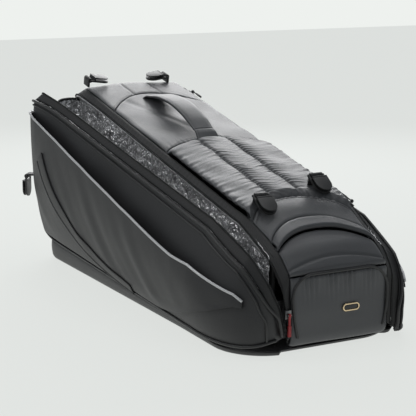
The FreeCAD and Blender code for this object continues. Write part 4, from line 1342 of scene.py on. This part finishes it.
def edge_pair(side):
    """The body's edge and the closed wall's edge beside it, point by point, and outwards."""
    s = np.linspace(s_at_far_z(46), s_at_near_z(24), 700)
    x, z, nx, nz = on_profile(s)
    body = np.stack([x - 4 * nx, side * (half_at(x) + 1), z - 4 * nz], -1)
    path_a, path_z = edge_path(0)
    wall = wall_point(path_a, path_z, -3 * np.ones_like(path_a), side)
    marks_body = [0, abs(x + 372).argmin() if x[0] < -372 else 0, abs(x - 300).argmin(),
                  abs(z - 112)[500:].argmin() + 500, len(x) - 1]
    wall_x = outline(path_a)[0]
    marks_wall = [0, abs(path_a - 5)[30:].argmin() + 30, abs(wall_x - 300).argmin(),
                  abs(path_a - (WHOLE - 7))[200:].argmin() + 200, len(path_a) - 1]
    share = np.linspace(0, 1, 520)
    knots = [0, 0.22, 0.82, 0.93, 1]
    at_body = np.interp(share, knots, marks_body)
    at_wall = np.interp(share, knots, marks_wall)
    pick = lambda line, at: np.stack([np.interp(at, np.arange(len(line)), line[:, k])
                                      for k in range(3)], -1)
    body, wall = pick(body, at_body), pick(wall, at_wall)
    middle = (body + wall) / 2
    along = unit(np.gradient(middle, axis=0))
    out = unit(np.cross(along, wall - body))
    centre = middle * (0.75, 0, 0.5)
    out = out * np.sign((out * (middle - centre)).sum(-1, keepdims=True))
    return body, wall, out


def make_zips(name):
    """Both tapes of one compartment's zip, and their teeth."""
    side = SIDES[name]
    body, wall, out = edge_pair(side)
    middle = (body + wall) / 2
    across = unit(wall - body)
    columns = np.linspace(0, 1, 5)[None, :, None]
    half = np.linalg.norm(wall - body, axis=1, keepdims=True) / 2
    stop = np.minimum(half * 0.5, 1.2)
    near_stop, far_stop = middle - across * stop, middle + across * stop
    lift = out * 0.4
    body_tape = (body[:, None] + (near_stop - body)[:, None] * columns) + lift[:, None]
    wall_tape = (wall[:, None] + (far_stop - wall)[:, None] * columns) + lift[:, None]
    nodes = [name + "_body_zip"] + (["left_nose_zip"] if name == "left" else [])
    hint = out[:, None]
    finished(build(name + "_body_tape", [shell(body_tape, 1.1, hint)], MATERIALS["zip_tape"]),
             "bag_body", "zip_black", *nodes)
    finished(build(name + "_wall_tape", [laid(shell(wall_tape, 1.1, hint), name)],
                   MATERIALS["zip_tape"]), name + "_wall", "zip_black", name + "_wall_zip")
    # a thin near-white strip under the teeth: a painted highlight on the lining's edge
    strip = np.stack([near_stop - (0, 0, 1.2), near_stop - (0, 0, 4.4)], 1)[OPENING]
    finished(build(name + "_lining_edge_highlight", [shell(strip, 0.8, (0, side, 0.3))],
                   MATERIALS["lining_edge_highlight"]), "bag_body", "thermal_foil")
    pitch = bpy.context.scene.bag_shape.tooth_pitch / MM
    for label, line, body_name in (("body", near_stop + across * 0.4, "bag_body"),
                                   ("wall", far_stop - across * 0.4, name + "_wall")):
        line = line + out * 1.1
        facing = out
        if label == "wall":
            facing = laid(line + out, name) - laid(line, name)
            line = laid(line, name)
        teeth = row_along("%s_%s_teeth" % (name, label), [line], [facing],
                          pitch, TOOTH, MATERIALS["zip_teeth"])
        finished(teeth, body_name, "zip_black")


# each gusset: its x and y on the body, its place round the wall, its foot, its top at the body
# and at the wall, the hump between them, its cloth and its slot
GUSSETS = {
    "near": (HALF_LENGTH - 13, NOSE_HALF + 2, WHOLE - 5, 22.0, (76.0, 76.0, 0.0),
             "wall_cloth_shaded", "shell_fabric"),
    "far": (-HALF_LENGTH + 20, TOP_HALF + 3, 5.0, 50.0, (300.0, 272.0, 12.0),
            "thermal_foil", "thermal_foil"),
}


def make_gussets():
    """The folded cloth that spans the open compartment's two ends."""
    t = np.linspace(0, 1, 41)
    for hand, (body_x, body_y, a, low, tops, cloth, slot) in GUSSETS.items():
        inner_high, outer_high, hump = tops
        high = inner_high + (outer_high - inner_high) * t + hump * np.sin(math.pi * t)
        z = low + (high - low)[None, :] * np.linspace(0, 1, 60)[:, None]
        inner = np.stack([0 * z + body_x, 0 * z - body_y, z], -1)
        outer = opened(wall_point(a + 0 * z, z, 0 * z - WALL_SKIN - 3, -1).reshape(-1, 3))
        outer = outer.reshape(z.shape + (3,))
        outer[..., 2] = z
        grid = inner + (outer - inner) * t[None, :, None]
        fold = 9 * np.sin(math.pi * t) + 2 * np.sin(5 * math.pi * t)
        grid[..., 0] -= fold * (0.4 + 0.6 * (z - low) / (high - low))
        grid[..., 0] += 2.0 * (crinkle(z, 90 * t[None, :], 24, 83) - 0.5)
        parts = [(hand + "_gusset_cloth", [shell(grid, 1.2, (1, -0.3, 0))], cloth, slot),
                 (hand + "_gusset_edge", [tube(grid[-1] + (0, 0, 1.5), 2.3, 10)], "piping_cord",
                  "piping")]
        for name, pieces, finish, own_slot in parts:
            piece = build(name, pieces, MATERIALS[finish])
            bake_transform(piece)
            if name.endswith("cloth"):
                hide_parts("left_%s_gusset" % hand)


# ------------------------------------------------------------------ the base


TRAY_FLOOR, TRAY_EDGE, TRAY_ROLL = 6.0, 5.0, 13.0


def base_side(side):
    """Points and outward directions along the base's side, from the far end to the near."""
    far_turn, near_turn = FOOT_ROUNDS[side]
    half = HALF_WIDTH + (SPREAD if side < 0 else 0)
    found = []
    for way, radius, first in ((-1, far_turn, 90), (1, near_turn, 0)):
        centre = np.array((way * (HALF_LENGTH - radius), half - radius))
        for angle in np.radians(np.linspace(first + 90, first, 26)):
            out = np.array((math.cos(angle), math.sin(angle)))
            found.append((centre + out * radius, out))
        if way < 0:
            for x in np.linspace(-HALF_LENGTH + far_turn, HALF_LENGTH - near_turn,
                                 130)[1:-1]:
                found.append((np.array((x, half)), np.array((0.0, 1.0))))
    return [(p * (1, side), o * (1, side)) for p, o in found]


def base_end(right, left, way):
    """Points and outward directions along one of the base's ends, between its two sides."""
    return [(np.array((way * HALF_LENGTH, y)), np.array((float(way), 0.0)))
            for y in np.linspace(right[1], left[1], 24)[1:-1]]


def make_base():
    """The base with its rolled skirt, one closed shell."""
    right, left = base_side(1), base_side(-1)
    ring = (right + base_end(right[-1][0], left[-1][0], 1) + left[::-1]
            + base_end(left[0][0], right[0][0], -1))
    plan = np.array([p for p, _ in ring])
    out = np.array([o for _, o in ring])
    blend_end = smooth((np.abs(plan[:, 1]) - TOP_HALF - 1) / 7)
    tall = TRAY_FLOOR + (seam_height(plan[:, 0]) - 0.4 - TRAY_FLOOR) * blend_end
    inset = TRAY_ROLL * (1 - blend_end)
    radius = np.minimum(TRAY_ROLL, tall * 0.8)
    rows = [(inset + TRAY_EDGE, np.minimum(TRAY_FLOOR + 0 * tall, tall))]
    rows += [(inset + depth, tall) for depth in (TRAY_EDGE, 3.5, 1.5)]
    rows.append((inset + 0.3, tall - 0.8))
    for share in (0.75, 0.5, 0.25, 0.0):
        z = radius + (tall - 1 - radius) * share
        bulge = 1.2 * np.sin(math.pi * share)
        rows.append((inset - bulge, z))
    for angle in np.linspace(0, math.pi / 2, 8)[1:]:
        rows.append((inset + radius * (1 - math.cos(angle)), radius * (1 - math.sin(angle))))
    rows.append((inset + radius + 30, 0 * tall))
    grid = np.stack([np.concatenate([plan - out * np.asarray(off)[:, None], z[:, None]], 1)
                     for off, z in rows], 0)
    skin = grid.reshape(-1, 3), ring_faces(*grid.shape[:2])
    piece = build("base_cloth", [skin], MATERIALS["base_cloth"])
    faced_outwards(piece)
    crisp(piece, 50)
    finished(piece, "bag_body", "base_fabric", "base_tray")
    eased("base_board", "stiffener_board", 0.6, MATERIALS["board_cloth"], "bag_body",
          "inner_board")


# ------------------------------------------------------------------ the handle

HANDLE_FAR, HANDLE_NEAR = -248.0, -34.0
HANDLE_SEAT, HANDLE_RISE, HANDLE_WIDTH, ANCHOR = 13.0, 16.0, 42.0, 16.0
# how a tab climbs from the top to the handle: run and height
TAB_CLIMB = ((-7.0, 1.0), (-2.0, 3.5), (3.0, 7.0), (8.0, 10.4), (13.0, 12.4), (18.0, 13.2))


def handle_frame():
    """Where the handle's line starts, its direction and its up direction."""
    start = np.array((HANDLE_FAR, 0, crown(HANDLE_FAR)))
    end = np.array((HANDLE_NEAR, 0, crown(HANDLE_NEAR)))
    along = unit(end - start)
    return start, along, np.array((-along[2], 0, along[0])), np.linalg.norm(end - start)


def strap(path, width, thickness, crown_rise=0.8):
    """A flat padded strap along points of (run, up) in the handle's frame, closed at its ends."""
    start, along, up, _ = handle_frame()
    path = np.asarray(path, float)
    centre = start + path[:, :1] * along + path[:, 1:] * up
    tangent = unit(np.gradient(centre, axis=0))
    lift = unit(np.cross(tangent, (0, -1, 0)))
    lift = lift * np.sign(lift[:, 2:])
    angles = np.linspace(0, 2 * math.pi, 40, endpoint=False)
    wide = np.sign(np.cos(angles)) * np.abs(np.cos(angles)) ** 0.45
    high = np.sign(np.sin(angles)) * np.abs(np.sin(angles)) ** 0.7
    stitched = -0.5 * np.exp(-((np.abs(wide) - 0.84) / 0.05) ** 2)
    rings = []
    for i, point in enumerate(centre):
        h = high * (thickness[i] / 2 + crown_rise * (1 - wide ** 2) + stitched)
        rings.append(point + np.outer(width[i] / 2 * wide, (0, 1, 0)) + np.outer(h, lift[i]))
    points, faces = np.concatenate(rings), ring_faces(len(rings), len(angles))
    a, b, c = points[faces[0][:3]]
    outward = np.cross(b - a, c - a) @ (a - centre[0])
    return points, faces if outward > 0 else [face[::-1] for face in faces]


def make_handle():
    """The padded carry handle in two halves, and the tabs that sew it down."""
    start, along, up, length = handle_frame()
    reach = length - 2 * (ANCHOR + 2)

    def rise(run):
        t = (run - ANCHOR - 2) / reach
        return HANDLE_SEAT + HANDLE_RISE * 4 * t * (1 - t)

    middle = length / 2
    for hand, first, last, foot in (("far", ANCHOR + 2.2, middle, ANCHOR),
                                    ("near", length - ANCHOR - 2.2, middle, length - ANCHOR)):
        run = np.linspace(first, last, 60)
        share = smooth(np.abs(run - first) / 30)
        path = np.stack([run, rise(run)], -1)
        piece = build("handle_%s_half" % hand,
                      [strap(path, HANDLE_WIDTH - 3 * (1 - share), 4.5 + 3.5 * share)],
                      MATERIALS["top_cloth_lit"])
        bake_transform(piece)
        if hand == "far":
            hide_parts("handle_strap")
        base, sign = (0, 1) if hand == "far" else (length, -1)
        tab = np.array([(base + sign * run, height) for run, height in TAB_CLIMB])
        fine = np.linspace(0, len(tab) - 1, 26)
        tab = np.stack([np.interp(fine, np.arange(len(tab)), tab[:, k]) for k in (0, 1)], -1)
        width = np.linspace(HANDLE_WIDTH + 2, HANDLE_WIDTH - 4, 26)
        piece = build("handle_%s_tab" % hand,
                      [strap(tab, width, np.full(26, 4.0), 0.3)], MATERIALS["top_cloth_lit"])
        finished(piece, "bag_body", "top_fabric", "handle_%s_anchor" % hand)


# ------------------------------------------------------------------ the hardware


RIVET_X, RIVET_Z, RIVET_LIFT = -318.0, 228.0, 10.0
RIVET_RINGS = ((0.02, 1.9), (1.4, 1.8), (2.6, 1.1), (3.1, 0.2), (3.1, -1.5))


def make_rivet():
    """The domed rivet through the far end of the band."""
    line, height, lift = (np.array([value]) for value in (a_at_x(RIVET_X), RIVET_Z, RIVET_LIFT))
    x, y, z = laid(wall_point(line, height, lift, -1), "left")[0]
    angles = np.linspace(0, 2 * math.pi, 20, endpoint=False)
    rings = [np.stack([x + radius * np.cos(angles), y - rise + 0 * angles,
                       z + radius * np.sin(angles)], -1) for radius, rise in RIVET_RINGS]
    skin = np.concatenate(rings), ring_faces(len(rings), len(angles))
    piece = build("band_rivet", [skin], MATERIALS["slider_metal"])
    faced_outwards(piece)
    finished(piece, "left_wall", "slider_metal")


def make_hardware():
    """Clips, gates, webbing loops, sliders, pulls and the badge."""
    for hand in ("near_left", "near_right", "far_left", "far_right", "side"):
        eased(hand + "_clip", hand + "_clip_plate", 0.7, MATERIALS["clip_plastic"],
              hand + "_clip", "clip_plastic", 3)
        eased(hand + "_clip_gate", hand + "_clip_tongue", 0.6, MATERIALS["clip_plastic"],
              hand + "_clip_gate", "clip_plastic", 3)
        eased(hand + "_clip_loop", hand + "_clip_webbing", 0.4, MATERIALS["webbing"],
              "left_wall" if hand == "side" else "bag_body", "webbing")
    for hand in ("left_near", "right_near", "right_far"):
        eased(hand + "_slider", hand + "_slider_shell", 0.35, MATERIALS["slider_metal"],
              hand + "_slider", "slider_metal")
        pull = "pull_cord" if hand == "left_near" else "piping_cord"
        eased(hand + "_puller", hand + "_pull_tab", 0.6, MATERIALS[pull], hand + "_puller",
              "pull_cord", 3)
    eased("badge_frame", "badge_rim", 0.6, MATERIALS["brass_rim"], "bag_body", "badge_metal", 3)
    eased("badge_insert", "badge_face", 0.25, MATERIALS["dark_enamel"], "bag_body",
          "badge_enamel")
    make_rivet()


# ------------------------------------------------------------------ the stage


CARD = (0.855, 0.88, 0.855, 1)
# each soft light's place, what it points at, its size in metres and its power in watts
LIGHTS = {
    "back_softbox": ((-1.45, 0.75, 1.05), (-0.15, 0, 0.25), (1.5, 0.9), 20),
    "top_softbox": ((0.0, 0.2, 2.0), (0, 0, 0.2), (1.6, 1.2), 8),
    "side_softbox": ((-0.5, -1.5, 1.7), (-0.1, -0.1, 0.25), (0.8, 0.6), 9),
}
FLOOR_REACH, FLOOR_GAP = 6.0, 0.0006
AZIMUTH, ELEVATION, DISTANCE = math.radians(61.5), math.radians(11.49), 2.12
CAMERA_TARGET, LENS = (0.0997, -0.0716, 0.1683), 111.6


def area_light(name, place, target, size, power):
    """A rectangular soft light."""
    lamp = bpy.data.lights.new(name, "AREA")
    lamp.shape = "RECTANGLE"
    lamp.size, lamp.size_y = size
    lamp.energy = power
    thing = in_scene(name, lamp)
    thing.location = place
    thing.rotation_euler = (Vector(target) - Vector(place)).to_track_quat("-Z", "Y").to_euler()


def make_floor():
    """The pale floor."""
    corners = [(x * FLOOR_REACH, y * FLOOR_REACH, 0) for x, y in
               ((-1, -1), (1, -1), (1, 1), (-1, 1))]
    floor = bpy.data.meshes.new("floor")
    floor.from_pydata(corners, [], [(0, 1, 2, 3)])
    thing = in_scene("floor", floor)
    thing.location.z = CAD_LOW[2] - FLOOR_GAP
    material = bpy.data.materials.new("pale_floor")
    material.use_nodes = True
    shader = material.node_tree.nodes["Principled BSDF"]
    shader.inputs["Base Color"].default_value = (0.10, 0.103, 0.10, 1)
    shader.inputs["Emission Color"].default_value = CARD
    shader.inputs["Emission Strength"].default_value = 0.80
    shader.inputs["Roughness"].default_value = 0.9
    shader.inputs["Specular IOR Level"].default_value = 0.1
    floor.materials.append(material)
    thing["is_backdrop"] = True


def make_surround():
    """A pale backdrop for the camera, and a dimmer one for light and reflections."""
    world = bpy.data.worlds.new("studio")
    bpy.context.scene.world = world
    world.use_nodes = True
    tree = world.node_tree
    back = tree.nodes["Background"]
    back.inputs["Color"].default_value = CARD
    back.inputs["Strength"].default_value = 1.0
    dim = tree.nodes.new("ShaderNodeBackground")
    dim.inputs["Color"].default_value = (0.8, 0.85, 0.9, 1)
    dim.inputs["Strength"].default_value = 0.34
    rays = tree.nodes.new("ShaderNodeLightPath")
    mix = tree.nodes.new("ShaderNodeMixShader")
    tree.links.new(rays.outputs["Is Camera Ray"], mix.inputs[0])
    tree.links.new(dim.outputs[0], mix.inputs[1])
    tree.links.new(back.outputs[0], mix.inputs[2])
    tree.links.new(mix.outputs[0], tree.nodes["World Output"].inputs["Surface"])


def make_camera():
    """The camera, turned to the bag's near left corner from above."""
    camera = bpy.data.cameras.new("camera")
    camera.lens = LENS
    camera.sensor_width = 36.0
    camera.clip_start, camera.clip_end = 0.05, 40.0
    thing = in_scene("camera", camera)
    back = Vector((math.sin(AZIMUTH) * math.cos(ELEVATION),
                   -math.cos(AZIMUTH) * math.cos(ELEVATION), math.sin(ELEVATION)))
    thing.location = Vector(CAMERA_TARGET) + back * DISTANCE
    thing.rotation_euler = (-back).to_track_quat("-Z", "Y").to_euler()
    bpy.context.scene.camera = thing


def make_stage():
    """A pale floor, soft lights and the camera."""
    bpy.context.scene.view_settings.view_transform = "Standard"
    make_floor()
    make_surround()
    for name, values in LIGHTS.items():
        area_light(name, *values)
    make_camera()


# ------------------------------------------------------------------ settings, operators, panel


class BagShape(bpy.types.PropertyGroup):
    quilt_rise: bpy.props.FloatProperty(
        name="Quilt rise", description="How far the quilted pad stands over the top",
        default=0.007, min=0.0, max=0.012, unit="LENGTH")
    pucker_depth: bpy.props.FloatProperty(
        name="Pucker depth", description="Depth of the gathers beside the quilt's seams",
        default=0.0009, min=0.0, max=0.003, unit="LENGTH")
    pocket_sag: bpy.props.FloatProperty(
        name="Pocket sag", description="How far the side pocket's mouth hangs open",
        default=0.006, min=0.0, max=0.012, unit="LENGTH")
    foil_crinkle: bpy.props.FloatProperty(
        name="Foil crinkle", description="Height of the lining's creases",
        default=0.0028, min=0.0, max=0.006, unit="LENGTH")
    stitch_pitch: bpy.props.FloatProperty(
        name="Stitch pitch", description="Distance from stitch to stitch",
        default=0.0036, min=0.002, max=0.008, unit="LENGTH")
    tooth_pitch: bpy.props.FloatProperty(
        name="Tooth pitch", description="Distance from tooth to tooth of a zip",
        default=0.0026, min=0.0016, max=0.006, unit="LENGTH")


def colour_property(name, description, default):
    return bpy.props.FloatVectorProperty(name=name, description=description, default=default,
                                         subtype="COLOR", size=3, min=0.0, max=1.0)


class BagColours(bpy.types.PropertyGroup):
    # the top's lighter grey and the walls' near-black are painted light and painted shade on one black
    # cloth
    top_cloth_lit: colour_property("Top", "Coated cloth of the top panels", (0.062, 0.064, 0.068))
    wall_cloth_shaded: colour_property("Walls", "Coated cloth of the side walls",
                                (0.019, 0.019, 0.02))
    base_cloth: colour_property("Base", "Cloth of the base and its skirt",
                                (0.035, 0.035, 0.036))
    foil: colour_property("Foil", "The insulated lining", (0.93, 0.93, 0.94))
    reflective: colour_property("Reflective bead", "The pocket's reflective piping",
                                (0.62, 0.62, 0.63))
    pull: colour_property("Zip pull", "Cord of the near zip pull", (0.45, 0.03, 0.035))
    brass: colour_property("Badge rim", "Metal rim of the badge", (0.83, 0.66, 0.42))


def operator(idname, label, docs, *steps):
    """An operator that makes one group of pieces."""
    def execute(self, context):
        for step in steps:
            step()
        return {"FINISHED"}
    name = "BAG_OT_" + idname
    return type(name, (bpy.types.Operator,), {
        "bl_idname": "bag." + idname, "bl_label": label, "__doc__": docs,
        "bl_options": {"REGISTER", "UNDO"}, "execute": execute})


def both(step):
    """The same step for each side."""
    return lambda: [step(name) for name in SIDES]


OPERATORS = [
    operator("finishes", "Finishes", "Make every material", make_materials),
    operator("stage", "Stage", "Set out the floor, the lights and the camera", make_stage),
    operator("top_panels", "Top panels", "Sew the top and both ends", make_top),
    operator("quilted_pad", "Quilted pad", "Sew the padded panel", make_quilt),
    operator("stitching", "Stitching", "Run the topstitching", make_stitches),
    operator("end_piping", "End piping", "Lay the bead under the lip", make_end_piping),
    operator("walls", "Side walls", "Make both walls, their pockets and linings",
             both(make_wall)),
    operator("linings", "Linings", "Hang the foil and the dividers behind it",
             both(make_divider_lining), both(make_divider)),
    operator("zips", "Zips", "Run both zips with their teeth", both(make_zips)),
    operator("gussets", "Gussets", "Fold the cloth at the open wall's ends", make_gussets),
    operator("base", "Base", "Form the base and its board", make_base),
    operator("handle", "Handle", "Pad the carry handle and sew it down", make_handle),
    operator("hardware", "Hardware", "Fit clips, sliders, pulls and the badge",
             make_hardware),
]


class BAG_PT_panel(bpy.types.Panel):
    """The bag's sizes, colours and pieces"""
    bl_idname = "BAG_PT_panel"
    bl_label = "Racket tournament bag"
    bl_space_type = "VIEW_3D"
    bl_region_type = "UI"
    bl_category = "Bag"

    def draw(self, context):
        for settings in (context.scene.bag_shape, context.scene.bag_colours):
            box = self.layout.box()
            for name in settings.__annotations__:
                box.prop(settings, name)
        for kind in OPERATORS:
            self.layout.operator(kind.bl_idname)


CLASSES = [BagShape, BagColours, *OPERATORS, BAG_PT_panel]


def register():
    for kind in CLASSES:
        bpy.utils.register_class(kind)
    bpy.types.Scene.bag_shape = bpy.props.PointerProperty(type=BagShape)
    bpy.types.Scene.bag_colours = bpy.props.PointerProperty(type=BagColours)


def unregister():
    del bpy.types.Scene.bag_shape
    del bpy.types.Scene.bag_colours
    for kind in reversed(CLASSES):
        bpy.utils.unregister_class(kind)


def main():
    register()
    for kind in OPERATORS:
        getattr(bpy.ops.bag, kind.bl_idname.split(".")[1])()
    low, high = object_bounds()
    ({"cad": [list(CAD_LOW), list(CAD_HIGH)],
               "visual": [list(low), list(high)]})


if __name__ == "__main__":
    main()
